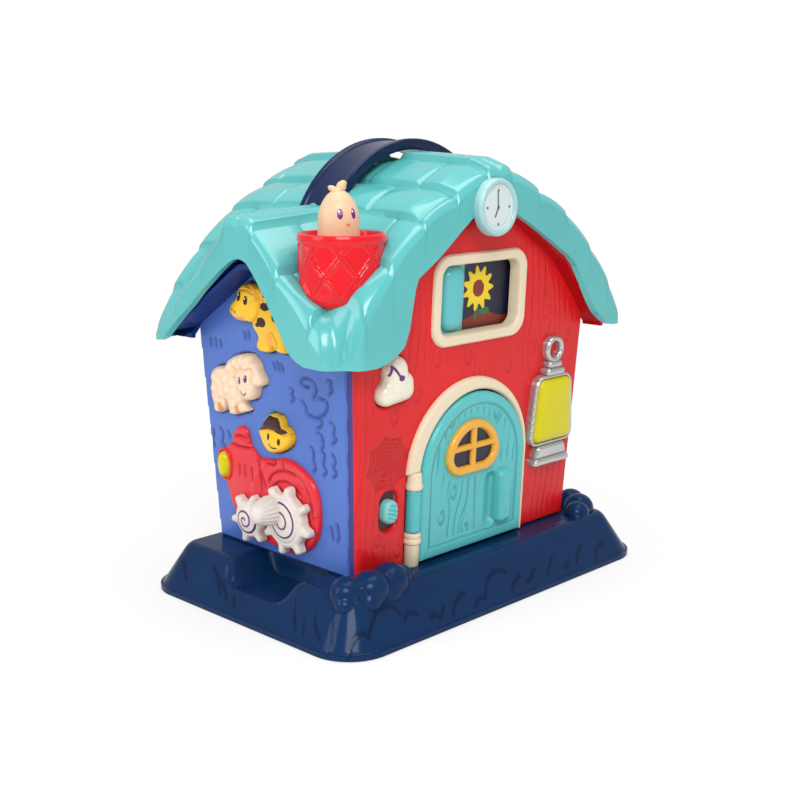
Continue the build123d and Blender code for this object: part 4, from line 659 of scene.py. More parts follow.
# front wall with grain, spider web and openings
frontLook = {"rim": 2.4, "grain": 0.36, "pitch": 6.2, "line": 0.55, "shade": 0.42, "step": 0.8, "back": -4.0}
webLook = {"at": (-73.2, 65.5), "spokes": 8, "reach": 17, "rings": (3.2, 5.6, 8.2, 10.9, 13.6, 16.2),
           "sag": 0.84, "line": 0.68, "deep": 1.7}
frontKnots = [(-36, 122, 6), (-9, 120, 5), (28, 110, 5), (-51, 104, 4.5), (-69, 94, 4.5), (51, 118, 5),
              (52, 24, 5), (-79, 22, 4), (-62, 12, 4), (62, 140, 5), (-62, 148, 5), (84, 122, 4)]
webLines = []


def webSpot(r, a):
    return (webLook["at"][0] + r * math.cos(a), webLook["at"][1] + r * math.sin(a))


for k in range(webLook["spokes"]):
    a = math.radians(12 + 45 * k)
    b = math.radians(57 + 45 * k)
    mid = (a + b) / 2
    webLines.append([webSpot(1, a), webSpot(webLook["reach"], a)])
    for r in webLook["rings"]:
        thread = [webSpot(r, a), webSpot(webLook["sag"] * r, mid), webSpot(r, b)]
        webLines.append(smoothLoop(thread, 4, False))
frontEdge = [(-92.6, 0), (92.6, 0), (99.4, 128), (99.4, 134), (69, 173), (0, 216), (-69, 173), (-99.4, 134),
             (-99.4, 128)]


def frontShape(x, y):
    d = outline(x, y, frontEdge)
    hinge = slab(x, y, hingeAcross, 27, 9.8, 56)
    window = slab(x, y, *windowAt, 72.4, 44.4, 5.5)
    switch = slab(x, y, *switchAt, 13.5, 23, 6)
    for hole in (doorOpening(x, y), hinge, window, bellShape(x, y) - 0.45, switch):
        d = np.maximum(d, -hole)
    return d


def frontMarks(x, y):
    plain = ease(disc(x, y, *webLook["at"], 0), 17, 21) * (1 - 0.8 * ease(y, 172, 186))
    grain = woodGrain(x, y, frontKnots, frontLook["pitch"], frontLook["line"], 1.3)
    return np.maximum(plain * grain, webLook["deep"] * strokes(x, y, webLines, webLook["line"]))


def frontHeight(x, y, d):
    return rim(d, frontLook["rim"], 0) - frontLook["grain"] * frontMarks(x, y) * ease(d, 1.5, 4)


# painted shade darkens the grain lines and the spider web's threads
frontWall = relief("frontWall", "front", frontShape, (-99, 0, 99, 216), frontLook["step"], frontHeight,
                   frontLook["back"], lambda x, y: frontLook["shade"] * frontMarks(x, y))
settle(frontWall, "house", "wallRed", ["front_wall"])

# left wall with engraved grass and curls
leftLook = {"rim": 1.2, "stroke": 1.1, "line": 0.95, "step": 0.9, "back": -2.5}
leftMarksLines = [smoothLoop(p, 4, False) for p in (
    [(27.5, 72.8), (29.9, 70.3), (29.5, 65.5), (30.8, 61.0), (28.9, 58.3)],
    [(37.2, 78.6), (38.6, 75.3), (36.7, 72.7), (39.0, 69.6), (37.7, 64.1), (39.9, 60.4), (37.2, 57.6)],
    [(45.7, 71.4), (47.8, 67.8), (45.9, 63.9), (48.1, 60.9), (45.5, 58.0)],
    [(34.1, 82.1), (37.3, 80.9), (38.7, 77.7)],
    [(45.4, 89.8), (48.4, 87.4), (47.3, 82.6), (49.6, 80.8), (46.1, 77.9)],
    [(24.9, 112.4), (29.9, 112.5), (33.9, 110.2), (35.2, 106.4), (32.4, 102.0)],
    [(36.6, 102.6), (42.2, 101.8), (43.6, 98.0), (39.9, 93.4), (34.0, 90.8), (27.4, 91.4)],
    [(22.1, 98.7), (25.2, 96.3), (25.8, 92.9)], [(34.0, 90.8), (38.0, 89.7), (37.8, 86.8), (34.4, 85.0)],
    [(24.9, 112.4), (22.5, 109.6), (25.6, 107.6), (29.4, 107.9)],
    [(13.2, 104.9), (15.7, 103.5), (13.7, 100.9), (16.2, 99.5), (13.4, 96.8)],
    [(44.7, 114.0), (47.9, 113.3), (46.9, 110.4), (48.4, 108.9), (45.8, 106.3)],
    [(-63.3, 69.8), (-60.8, 66.5), (-62.4, 61.1), (-60.8, 57.5)],
    [(-54.4, 70.7), (-51.9, 66.7), (-53.5, 60.7), (-50.8, 59.3)], [(-46.7, 69.5), (-45.3, 65.4)],
    [(-57.7, 125.4), (-57.3, 121.2)], [(-52.8, 126.0), (-52.4, 121.2)], [(-48.1, 125.3), (-47.6, 121.8)],
    [(-24.8, 132.8), (-24.3, 129.3)], [(-21.1, 133.8), (-20.6, 129.8)], [(-0.4, 117.6), (1.1, 114.3)],
    [(3.2, 118.7), (4.6, 114.2)], [(6.6, 117.9), (8.0, 114.1)], [(46.5, 30), (47.6, 24), (46.2, 20)],
    [(41.5, 27), (42.6, 21)])]
leftEdge = [(-61.4, 0), (54, 0), (60, 122), (67.5, 130), (67.5, 133), (50, 142), (38, 156), (0, 186),
            (-40, 160), (-67.8, 135), (-67.8, 128)]


def leftShape(x, y):
    d = outline(x, y, leftEdge)
    for hole in (outline(x, y, cowLine), outline(x, y, sheepLine), outline(x, y, farmerLine)):
        d = np.maximum(d, 0.45 - hole)
    return d


def leftHeight(x, y, d):
    return rim(d, leftLook["rim"], 0) - leftLook["stroke"] * strokes(x, y, leftMarksLines, leftLook["line"])


# painted shade darkens the engraved grass and curls
leftWall = relief("leftWall", "left", leftShape, (-68, 0, 68, 186), leftLook["step"], leftHeight,
                  leftLook["back"], lambda x, y: strokes(x, y, leftMarksLines, 1.0))
settle(leftWall, "house", "wallBlue", ["left_wall"])

# right and back walls, not seen in the photograph
grassSpots = ((-44, 20), (-12, 66), (28, 34), (40, 96), (-36, 104), (4, 118))
grassLines = [[(a + b, u), (a + b + 1, u + 9 + 2 * (b % 3))] for a, u in grassSpots for b in (0, 5, 10)]
rightLook = {"rim": 0.8, "stroke": 0.55, "line": 0.6, "step": 0.8, "back": -2.5}
grilleLook = {"up": 62, "pitch": 4.6, "radius": 18, "slot": 2.4, "rows": 3}


def rightShape(x, y):
    d = outline(-x, y, leftEdge)
    slot = grilleLook["slot"]
    for k in range(-grilleLook["rows"], grilleLook["rows"] + 1):
        off = grilleLook["pitch"] * k
        wide = 2 * math.sqrt(grilleLook["radius"] ** 2 - off ** 2) - slot
        d = np.maximum(d, -slab(x, y, 0, grilleLook["up"] + off, wide, slot, slot / 2))
    return d


def rightHeight(x, y, d):
    return rim(d, rightLook["rim"], 0) - rightLook["stroke"] * strokes(x, y, grassLines, rightLook["line"])


# painted shade darkens the grass strokes
rightWall = relief("rightWall", "right", rightShape, (-68, 0, 68, 186), rightLook["step"], rightHeight,
                   rightLook["back"], lambda x, y: strokes(x, y, grassLines, 0.7))
settle(rightWall, "house", "wallBlue", ["right_wall"])
backKnots = [(-50, 40, 6), (42, 30, 5), (56, 104, 6), (-60, 118, 5), (8, 150, 6), (-22, 20, 5), (30, 176, 4)]
backLook = {"narrow": 1.036, "rim": 1.0, "grain": 0.5, "pitch": 6.5, "line": 0.6, "step": 1.0, "back": -2.5}


def backMarks(x, y):
    return woodGrain(x, y, backKnots, backLook["pitch"], backLook["line"], 2.1)


def backShape(x, y):
    return outline(backLook["narrow"] * x, y, frontEdge)


def backHeight(x, y, d):
    return rim(d, backLook["rim"], 0) - backLook["grain"] * backMarks(x, y)


# painted shade darkens the grain lines
backWall = relief("backWall", "back", backShape, (-96, 0, 96, 216), backLook["step"], backHeight,
                  backLook["back"], backMarks)
settle(backWall, "house", "wallRed", ["back_wall"])

# corner bands beside the front wall, in a darker blue as painted shade
bandLook = {"foot": (53, 61.5), "head": (59.5, 68), "tall": 128, "rim": 1.6, "sunk": -0.7}
for name, plane, end in (("Left", "left", 1), ("Right", "right", -1)):
    (footIn, footOut), (headIn, headOut), tall = bandLook["foot"], bandLook["head"], bandLook["tall"]
    band = [(end * footIn, 0), (end * footOut, 0), (end * headOut, tall), (end * headIn, tall)]
    reach = [across for across, up in band]
    box = (min(reach), 0, max(reach), tall)
    strip = relief("cornerBand" + name, plane, lambda x, y: outline(x, y, band), box, 1.0,
                   lambda x, y, d: rim(d, bandLook["rim"], bandLook["sunk"]), -4.0)
    settle(strip, "house", "cornerShadeBlue", ())
print("stage walls")

# roof: crossed gables with rows of puffy tiles
mainRows = [0, 9.9, 36, 62, 86.8, 106.6, 124]
mainLift = [101, 99, 86.9, 73.7, 52.5, 30.3, 0]
dormerRows = [0, 12, 32.1, 58.3, 84.5]
dormerLift = [73, 70.5, 48.5, 25.2, 0]
roofLook = {"tile": 3.8, "joint": 1.7, "mainPitch": 40.0, "dormerPitch": 36.0, "roll": 4.5, "sink": 1.9,
            "wide": 248, "deep": 167, "corner": 8.0, "lobeCorner": 20.0, "step": 0.95, "lip": 3.2}
basketLook = {"at": (-94, -46), "hole": (-95, -45, 14.2), "seat": 213.5, "clear": 21.6}


def tileRow(run, across, rows, pitch, seed):
    k = np.clip(np.searchsorted(rows, run, side="right") - 1, 0, len(rows) - 2)
    low, high = np.asarray(rows, float)[k], np.asarray(rows, float)[k + 1]
    s = np.clip((run - low) / (high - low), 0, 1)
    puff = 0.62 * s + 1.3 * np.sqrt(np.clip(s * (1.05 - s), 0, 1))
    j = np.abs(((across + pitch * (0.5 * (k % 2) + 0.13 * k + seed)) / pitch) % 1 - 0.5) * pitch
    seam = np.exp(-(j / 1.3) ** 2) + 0.45 * np.exp(-(j / 5) ** 2)
    seam = seam * (k > 0)
    lift = roofLook["tile"] * puff - roofLook["joint"] * seam * (0.35 + 0.65 * s)
    return lift, seam, (high - low) - s * (high - low)


def roofParts(x, y):
    v = y - houseMid
    ax, av = np.abs(x), np.abs(v)
    prof = np.interp(ax, mainRows, mainLift)
    main = prof + 9 * np.interp(av / 83.5, [0, 0.81, 1], [1, 0.61, 0]) * (prof / mainLift[0]) ** 2
    main = main + 2.2 * np.exp(-((ax - 52) / 12) ** 2) * np.exp(-(v / 60) ** 2)
    prof = np.interp(av, dormerRows, dormerLift)
    side = prof + 4 * np.interp(ax / 122, [0, 0.5, 1], [1, 1, 0]) * np.sqrt(prof / dormerLift[0])
    side = side + 3.0 * np.exp(-(av / 12) ** 4)  # ridge roll
    tileMain, seamMain, toMain = tileRow(ax, v, mainRows, roofLook["mainPitch"], 0.2)
    tileSide, seamSide, toSide = tileRow(av, x, dormerRows, roofLook["dormerPitch"], 0.35)
    lobe = 7 * np.exp(-((x + 110) / 17) ** 2 - ((y + 62) / 17) ** 2)  # fuller corner at the front left
    main = main + tileMain - roofLook["sink"] + lobe
    side = side + tileSide - roofLook["sink"] + lobe
    return main, side, seamMain, seamSide, toMain, toSide


def roofEdge(x, y):
    corner = np.where((x < 0) & (y < houseMid), roofLook["lobeCorner"], roofLook["corner"])
    plan = slab(x, y, 0, houseMid, roofLook["wide"], roofLook["deep"], corner)
    # a notch parts the two lobes at the front left corner
    return joined(-plan, disc(x, y, -124.6, -77.4, 13.5), 5)


def roofShape(x, y):
    return np.maximum(-roofEdge(x, y), -disc(x, y, *basketLook["hole"]))


def roofHeight(x, y, depth):
    main, side = roofParts(x, y)[:2]
    z = eaveHigh - joined(-main, -side, 2)
    z = joined(z, 252 + 18 * np.hypot(x / 40, (y - houseMid) / 20) ** 3, 3)  # hollow under the handle
    besideBasket = disc(x, y, *basketLook["at"], 0) < basketLook["clear"]
    z = np.where(besideBasket, np.minimum(z, basketLook["seat"]), z)
    roll = roofLook["roll"] + 12 * np.exp(-((x + 116) / 24) ** 2 - ((y + 68) / 24) ** 2)
    t = np.clip(roofEdge(x, y) / roll, 0, 1)
    return z - roll * (1 - np.sqrt(1 - (1 - t) ** 2))


# painted shade along the tile seams and the lower edges of the tile rows
def roofCreaseShade(x, y):
    main, side, seamMain, seamSide, toMain, toSide = roofParts(x, y)
    line = np.where(main > side, np.maximum(0.5 * seamMain, np.exp(-(toMain / 1.2) ** 2)),
                    np.maximum(0.5 * seamSide, np.exp(-(toSide / 1.2) ** 2)))
    return 0.4 * line


# lower edge of the roof along the front and along the left side
frontLow = [(-124, 153), (-98, 153.2), (-90.7, 154.7), (-83.9, 157.6), (-77.8, 162.2), (-74, 170.9),
            (-71.7, 181.5), (-69.4, 192), (-67.1, 197.7), (-50.6, 207.6), (-34.6, 219.6), (-21.4, 229.2),
            (-8.2, 238.8), (14.3, 228), (26.4, 222.2), (45.6, 211.7), (65.7, 200.2), (72, 194.9),
            (81.8, 181.2), (89.7, 169.8), (96.4, 162.2), (103.1, 157.7), (107, 155.2), (112, 153.4),
            (124, 153)]
leftLow = [(-84, 153), (-63, 153.2), (-53.6, 153.4), (-47.3, 155.5), (-42.6, 158.7), (-38.6, 163.6),
           (-33.2, 172.1), (-27.7, 180.2), (-22.9, 187.3), (-18.1, 193.8), (-12.5, 200.4), (-8.4, 204.5),
           (-5, 206.1), (-1.6, 206.6), (2.5, 206), (7.2, 203.8), (16.4, 198.1), (23.9, 192.4), (33.5, 185.4),
           (43.3, 177), (53.3, 169.6), (63.6, 161.4), (71, 155), (76, 153), (84, 153)]


def roofLow(x, y):
    ax, v = np.abs(x), y - houseMid
    back = eaveHigh + np.interp(ax, [0, 67.8, 106, 110, 124], [88, 45.3, 3, 0, 0])
    far = eaveHigh + np.interp(np.abs(v), [0, 43.5, 78.5, 82, 84], [53, 24.9, 3, 0, 0])
    low = np.where(v < -82, np.interp(x, *zip(*frontLow)), np.where(v > 82, back, float(eaveHigh)))
    low = np.where((ax > 122.5) & (np.abs(v) <= 82), np.where(x < 0, np.interp(v, *zip(*leftLow)), far), low)
    return np.where(disc(x, y, *basketLook["hole"]) < 1.8, roofHeight(x, y, 0) - 3, low)


# painted shade darkens the tile seams and row edges
roof = relief("roof", "plan", roofShape, (-124, -77, 124, 90), roofLook["step"], roofHeight, roofLow,
              roofCreaseShade, 50)
settle(roof, "house", "roofTeal", ["roof_shell"])


def edgeReach(dx, dy):  # how far the roof's edge is from its middle, by halving
    low, high = 0.0, 300.0
    for again in range(40):
        mid = (low + high) / 2
        if roofEdge(np.array(mid * dx), np.array(houseMid + mid * dy)) > 0:
            low = mid
        else:
            high = mid
    return low


ring = []
for k in range(720):
    a = 2 * math.pi * k / 720
    reach = edgeReach(math.cos(a), math.sin(a))
    ring.append((reach * math.cos(a), houseMid + reach * math.sin(a)))
edge = np.array(ring)
turned = edge[:, 1] - houseMid
inner = np.stack([edge[:, 0] * (1 - roofLook["lip"] / 124),
                  houseMid + turned * (1 - roofLook["lip"] / 83.5)], 1)
low = roofLow(edge[:, 0], edge[:, 1])
lipRows = [np.column_stack(row) for row in ((edge, low), (inner, low), (inner, low + 9))]
settle(sweep("roofLip", lipRows, closedRow=True), "house", "roofTeal", ())

# undersides of the eaves run in from the lip to the walls, in darker copies of the wall colours as painted
# shade
across, along = np.abs(edge[:, 0]), np.abs(turned)
eaves = [("eaveLeft", "soffitShadeBlue", (edge[:, 0] < -122) & (along < 68), 1, -120.8, -99),
         ("eaveRight", "soffitShadeBlue", (edge[:, 0] > 122) & (along < 72), 1, 120.8, 99),
         ("eaveFront", "soffitShadeRed", (turned < -82) & (across < 108), 0, -73.8, -62),
         ("eaveBack", "soffitShadeBlue", (turned > 82) & (across < 112), 0, 86.8, 75)]
for name, look, held, axis, start, end in eaves:
    pts = np.column_stack([edge[held], low[held] + 1.2])
    pts = pts[np.argsort(pts[:, axis])]
    rows = []
    for stop in (start, end):
        row = pts.copy()
        row[:, 1 - axis] = stop
        rows.append(row)
    settle(sweep(name, rows), "house", look, ())
print("stage roof")

# carry handle: an arched band with raised rims
handleLook = {"radius": 73.0, "centre": 195.5, "foot": 227.0, "steps": 120}
section = [(-15, -3.6), (-14.2, -5), (14.2, -5), (15, -3.6), (15, 0.9), (14.3, 1.5), (12, 1.5), (11.2, 1.1),
           (10.6, 0.2), (9.5, 0), (-9.5, 0), (-10.6, 0.2), (-11.2, 1.1), (-12, 1.5), (-14.3, 1.5),
           (-15, 0.9)]
foot = math.asin((handleLook["foot"] - handleLook["centre"]) / handleLook["radius"])
rows = []
for a in np.linspace(foot, math.pi - foot, handleLook["steps"]):
    reach = [(w, handleLook["radius"] + r) for w, r in section]
    rows.append([(r * math.cos(a), houseMid + w, handleLook["centre"] + r * math.sin(a)) for w, r in reach])
settle(sweep("handle", rows, closedRow=True), "house", "handleNavy", ["carry_handle"])

# clock at the front peak
clockLook = {"ring": 14.4, "rim": 1.8, "thick": 5.6, "face": 4.0, "faceRadius": 13, "tickRadius": 9.4}


def clockRing(x, y):
    return np.abs(np.hypot(x, y) - clockLook["ring"]) - clockLook["rim"]


bezel = relief("clockRim", "clock", clockRing, (-17.5, -17.5, 17.5, 17.5), 0.45,
               lambda x, y, d: rim(d, clockLook["rim"], clockLook["thick"]), -0.4)
settle(bezel, "house", "clockRim", ["clock_bezel"])


def faceHeight(x, y, d):
    return clockLook["face"] - 0.5 * np.exp(-((np.hypot(x, y) - 11.4) / 0.5) ** 2)  # fine ring near the edge


face = relief("clockFace", "clock", lambda x, y: disc(x, y, 0, 0, clockLook["faceRadius"]),
              (-13, -13, 13, 13), 0.5, faceHeight, 0.0)
settle(face, "house", "clockFace", ["clock_face"])


def clockInk(x, y):
    d = np.minimum(capsule(x, y, 0, -1, -0.5, 8.6, 0.42), capsule(x, y, 0, 0, -2.6, -5.2, 0.5))
    d = np.minimum(d, disc(x, y, 0, 0, 1.0))
    for k in range(4):
        a, r = 0.5 * math.pi * k, clockLook["tickRadius"]
        d = np.minimum(d, disc(x, y, r * math.cos(a), r * math.sin(a), 0.7))
    return d


ink = relief("clockHands", "clock", clockInk, (-12, -12, 12, 12), 0.28,
             lambda x, y, d: clockLook["face"] + 0.18, 3.9)
settle(ink, "house", "inkGrey", ())
print("stage handle and clock")

# basket with a diagonal weave, and the chick
weaveLook = {"low": 188, "high": 216.5, "inside": 22.6, "pitch": 18.85, "line": 0.62, "gap": 1.15,
             "lift": 0.75}


def weave(a, h, r):
    if r < weaveLook["inside"] or h > weaveLook["high"] or h < weaveLook["low"]:
        return 0.0
    pitch, lift = weaveLook["pitch"], 0.0
    for sign in (1, -1):
        j = abs((a * 24 + sign * (h - 200) * 0.8) / pitch % 1 - 0.5) * pitch
        lift = max(lift, math.exp(-((j - weaveLook["gap"]) / weaveLook["line"]) ** 2))
    return weaveLook["lift"] * lift


basketProfile = [(15.5, 182.4), (19, 183.4), (21.6, 186.0), (22.7, 189.5)]
basketProfile += [(23.0, 191 + k * 0.65) for k in range(40)]  # woven side
basketProfile += [
    (23.4, 217.2), (24.0, 217.8), (24.3, 219), (24.2, 220.6), (23.6, 221.8), (22.6, 222.2), (21.6, 221.8),
    (21.1, 220.6), (20.8, 217.5), (19, 217), (15, 216.8), (13.6, 216.2), (13.4, 213), (13.4, 193),
    (5, 191.5)]
basket = lathe("basket", basketProfile, (*basketLook["at"], 0), (0, 0, 1), 240, weave)
settle(basket, "house", "basketRed", ["basket"])
chickAt, chickFaces = (-95.2, -44.8), math.radians(-108)


def chickRadius(h):
    return np.interp(h, [206, 208, 214, 220, 225, 229, 232, 235, 237.6, 240, 242.2, 243.8, 244.9, 245.4],
                     [9, 11, 11.5, 11.5, 11.4, 11.2, 10.9, 10.1, 9.0, 7.6, 5.9, 3.9, 2.0, 0.05])


heights = np.concatenate([np.linspace(206, 236, 24), np.linspace(237, 245.4, 26)])
chickProfile = [(4.0, 188), (4.0, 205.5)] + [(float(chickRadius(h)), float(h)) for h in heights]
chick = lathe("chick", chickProfile, (*chickAt, 0), (0, 0, 1), 72)
settle(chick, "chick", "chickCream", ["chick"])
tuftBlobs = [((-94.2, -46.0, 246.3), (2.7, 2.7, 2.8)), ((-93.6, -46.7, 247.9), (2.1, 2.1, 1.8)),
             ((-97.6, -42.4, 245.3), (1.9, 1.9, 1.7)), ((-98.4, -41.8, 245.9), (1.3, 1.3, 1.1)),
             ((-95.6, -44.6, 244.2), (3.4, 3.4, 1.8))]
settle(clay("chickTuft", tuftBlobs, 0.4, 4), "chick", "chickCream", ())


def chickSkin(across, up, out):
    r = chickRadius(up)
    a = chickFaces + across / 12.0
    return np.stack([chickAt[0] + (r + out) * np.cos(a), chickAt[1] + (r + out) * np.sin(a), up], 1)


chickMarks = [("chickBlush", "cheekPink", pair((-4.6, 232.2), (4.4, 232.2), 2.5, 3.5), 0.08),
              ("chickEyes", "inkPurple", pair((-4.4, 232.6), (4.4, 232.6), 1.8, 2.9), 0.16),
              ("chickGlints", "inkWhite", pair((-5.0, 233.9), (3.8, 233.9), 0.75, 0.85), 0.24),
              ("chickBeak", "beakOrange", lambda x, y: ellipse(x, y, 0.2, 227.3, 1.3, 0.9), 0.8)]
for name, look, shape, lift in chickMarks:
    mark = relief(name, chickSkin, shape, (-9, 226, 9, 237), 0.3,
                  lambda x, y, d, lift=lift: np.minimum(lift, 0.05 + d * 1.4), -0.4)
    settle(mark, "chick", look, ())
print("stage basket and chick")

# gable window: frame, picture card and sliding shutter
windowLook = {"outer": (81, 53, 12), "inner": (68, 40, 7), "proud": 2.2, "sleeve": -6.2, "card": -8.6,
              "cardSize": (72, 44, 3), "pictureSize": (70, 42, 3), "flowerAt": (6, 156)}


def windowOuter(x, y):
    return slab(x, y, *windowAt, *windowLook["outer"])


def windowRing(x, y):
    return np.maximum(windowOuter(x, y), -slab(x, y, *windowAt, *windowLook["inner"]))


windowFrame = relief("windowFrame", "front", windowRing, (-43, 126, 39, 180), 0.6,
                     lambda x, y, d: rim(d, 1.6, windowLook["proud"]),
                     lambda x, y: np.where(windowOuter(x, y) > -3, -0.4, windowLook["sleeve"]))
settle(windowFrame, "house", "cream", ["window_frame"])
card = relief("windowCard", "front", lambda x, y: slab(x, y, *windowAt, *windowLook["cardSize"]),
              (-39, 130, 35, 176), 1.0, lambda x, y, d: windowLook["card"] + 0 * x, -9.6)
settle(card, "house", "cardNavy", ["window_card"])


def petals(x, y):
    dx, dy = x - windowLook["flowerAt"][0], y - windowLook["flowerAt"][1]
    return np.hypot(dx, dy) - 11.5 - 2.2 * np.cos(11 * np.arctan2(dy, dx))


def cardEarth(x, y):
    return np.maximum(y - 140 - 2.2 * np.sin(0.16 * x), slab(x, y, *windowAt, *windowLook["pictureSize"]))


def cardStem(x, y):
    return np.minimum(capsule(x, y, 6, 146, 4, 138, 1.4), ellipse(x, y, 12, 142, 5, 2.2))


cardMarks = [("cardEarth", "earthBrown", cardEarth, 0.1), ("cardStem", "boardGreen", cardStem, 0.16),
             ("cardPetals", "petalYellow", petals, 0.24),
             ("cardSeeds", "earthBrown", lambda x, y: disc(x, y, *windowLook["flowerAt"], 5.6), 0.34)]
for name, look, shape, lift in cardMarks:
    mark = relief(name, "front", shape, (-38, 131, 34, 176), 0.7,
                  lambda x, y, d, lift=lift: windowLook["card"] + np.minimum(lift, 0.05 + d), -8.8)
    settle(mark, "house", look, ())
shutterLook = {"panel": (-43.1, 153, 67.2, 43.6, 3), "face": -6.4, "back": -8.1,
               "grip": (-20.4, 153, 18.6, 38.8, 7.5), "gripRound": 7.4, "gripTop": -0.6}
panel = relief("shutterPanel", "front", lambda x, y: slab(x, y, *shutterLook["panel"]), (-77, 131, -9, 175),
               1.2, lambda x, y, d: shutterLook["face"] + 0 * x, shutterLook["back"])
settle(panel, "shutter", "shutterTeal", ["shutter"])
grip = relief("shutterGrip", "front", lambda x, y: slab(x, y, *shutterLook["grip"]), (-30, 133, -8, 173),
              0.6, lambda x, y, d: rim(d, shutterLook["gripRound"], shutterLook["gripTop"]),
              shutterLook["face"])
settle(grip, "shutter", "shutterTeal", ())
print("stage window")

# door frame with hinge posts
doorFrameLook = {"arch": (-6, 52.5, 53.5, 0.4), "rim": 2.4, "proud": 3.4}


def frameShape(x, y):
    d = np.maximum(arch(x, y, *doorFrameLook["arch"]), -doorOpening(x, y))
    return np.maximum(d, -slab(x, y, hingeAcross, 27, 14, 58))  # room for the hinge posts


doorFrame = relief("doorFrame", "front", frameShape, (-59, 0, 47, 107), 0.6,
                   lambda x, y, d: rim(d, doorFrameLook["rim"], doorFrameLook["proud"]), -0.5)
settle(doorFrame, "house", "cream", ["door_frame"])


def spotOn(plane, across, up, out):
    return tuple(place(plane, np.array([across]), np.array([up]), np.array([out]))[0] * 1000)


frontUp = (0, -leanSin, leanCos)
hingeSpot = spotOn("front", hingeAcross, 0, 0.5)
lower = [(0.1, 0.4), (4.3, 0.4), (4.5, 0.8), (4.5, 13.6), (5.1, 14.1), (5.4, 14.8), (5.4, 16.2), (5.0, 16.9),
         (4.7, 17.3), (4.9, 17.8), (5.1, 18.4), (5.1, 19.8), (4.7, 20.5), (4.2, 20.7), (1.7, 20.7)]
upper = [(1.7, 46.3), (4.4, 46.3), (5.0, 46.8), (5.3, 47.8), (5.2, 49.2), (4.7, 50.2), (4.5, 51),
         (4.5, 55.5), (3.6, 56.6), (0.1, 57)]
settle(lathe("hingePostLow", lower, hingeSpot, frontUp, 40), "house", "cream", ())
settle(lathe("hingePostHigh", upper, hingeSpot, frontUp, 40), "house", "cream", ())

# door leaf with border, hollow, grip and knuckle
leafLook = {"rim": 2.2, "proud": 4.5, "panel": 1.0, "grain": 0.5, "pitch": 6.0, "line": 0.6,
            "hollowAt": (12.4, 28), "hollow": 3.5, "hollowLip": 0.8}
gripLook = {"at": (23, 28, 13, 34.5, 4.5), "foot": 3.4, "rise": 6.0, "round": 5}
insertLook = {"at": (-6.5, 65), "rim": 1.7, "proud": 6.6, "bar": 1.7, "border": 5.2, "glass": 3.9}
doorKnots = [(-8, 14, 5), (-30, 26, 4), (-24, 84, 4), (16, 84, 4), (-20, 40, 4)]


def leafShape(x, y):
    post = np.minimum(5.9 - (x - hingeAcross), 0 * x + (y - 76))
    return np.maximum(doorArch(x, y, doorLook["leaf"], 1.5), post)


def doorBorder(x, y):
    return doorArch(x, y, doorLook["border"], 9)


def insertShape(x, y):
    return np.maximum(arch(x, y, insertLook["at"][0], 23.2, 58, 48),
                      slab(x, y, *insertLook["at"], 46.4, 33, 13))


def leafMarks(x, y):
    line = np.exp(-((doorBorder(x, y)) / 0.7) ** 2)
    clear = ease(insertShape(x, y), 2, 5) * ease(slab(x, y, 18, 28, 30, 42, 6), 0, 3)
    clear = clear * (doorBorder(x, y) < -2)
    grain = woodGrain(x, y, doorKnots, leafLook["pitch"], leafLook["line"], 0.7, 0.4)
    return np.maximum(line, clear * grain)


def leafHeight(x, y, d):
    z = rim(d, leafLook["rim"], leafLook["proud"])
    z = z - leafLook["panel"] * ease(-doorBorder(x, y), -0.2, 1.6) - leafLook["grain"] * leafMarks(x, y)
    z = z - leafLook["hollow"] * ease(-slab(x, y, *leafLook["hollowAt"], 11, 34, 5), -0.6, 2.6)
    return z + leafLook["hollowLip"] * np.exp(-(slab(x, y, *leafLook["hollowAt"], 13, 36, 6) / 1.4) ** 2)


def dome(d, reach):  # quarter round that rises from 0 to 1 over the reach
    return np.sqrt(np.clip(1 - (1 - np.clip(d / reach, 0, 1)) ** 2, 0, 1))


# painted shade darkens the border groove and the grain lines
leaf = relief("doorLeaf", "front", leafShape, (-49, 1, 44, 98), 0.6, leafHeight, -1.5, leafMarks)
settle(leaf, "door", "doorTeal", ["door"])
bar = relief("doorGrip", "front", lambda x, y: slab(x, y, *gripLook["at"]), (16, 10, 30, 46), 0.5,
             lambda x, y, d: gripLook["foot"] + gripLook["rise"] * dome(d, gripLook["round"]), 3.0)
settle(bar, "door", "doorTeal", ())
knuckle = [(1.7, 21.3), (4.1, 21.3), (4.5, 21.8), (4.6, 22.6), (4.3, 24.2), (4.5, 25.5), (4.5, 41.5),
           (4.3, 43), (4.6, 44.4), (4.5, 45.4), (4.1, 45.9), (1.7, 45.9)]
settle(lathe("doorKnuckle", knuckle, hingeSpot, frontUp, 40), "door", "doorTeal", ())
tongue = relief("doorTongue", "front", lambda x, y: slab(x, y, -48.2, 33.5, 7, 23.6, 1), (-52, 21, -44, 46),
                0.6, lambda x, y, d: rim(d, 1.2, 3.0), -1.0)
settle(tongue, "door", "doorTeal", ())


# yellow window insert with four dark panes
def paneHoles(x, y):
    (midX, midY), bar = insertLook["at"], insertLook["bar"]
    bars = np.minimum(np.abs(x - midX) - bar, np.abs(y - midY) - bar)
    return np.maximum(insertShape(x, y) + insertLook["border"], -bars) + 0.2


insertBox = (-31, 48, 18, 82)
insert = relief("doorInsert", "front", lambda x, y: np.maximum(insertShape(x, y), -paneHoles(x, y)),
                insertBox, 0.5, lambda x, y, d: rim(d, insertLook["rim"], insertLook["proud"]), 3.4)
settle(insert, "door", "paneYellow", ["door_window"])
panes = relief("doorPanes", "front", lambda x, y: paneHoles(x, y) - 0.4, insertBox, 0.6,
               lambda x, y, d: insertLook["glass"] + 0 * x, 3.3)
settle(panes, "door", "cardNavy", ())
print("stage door")

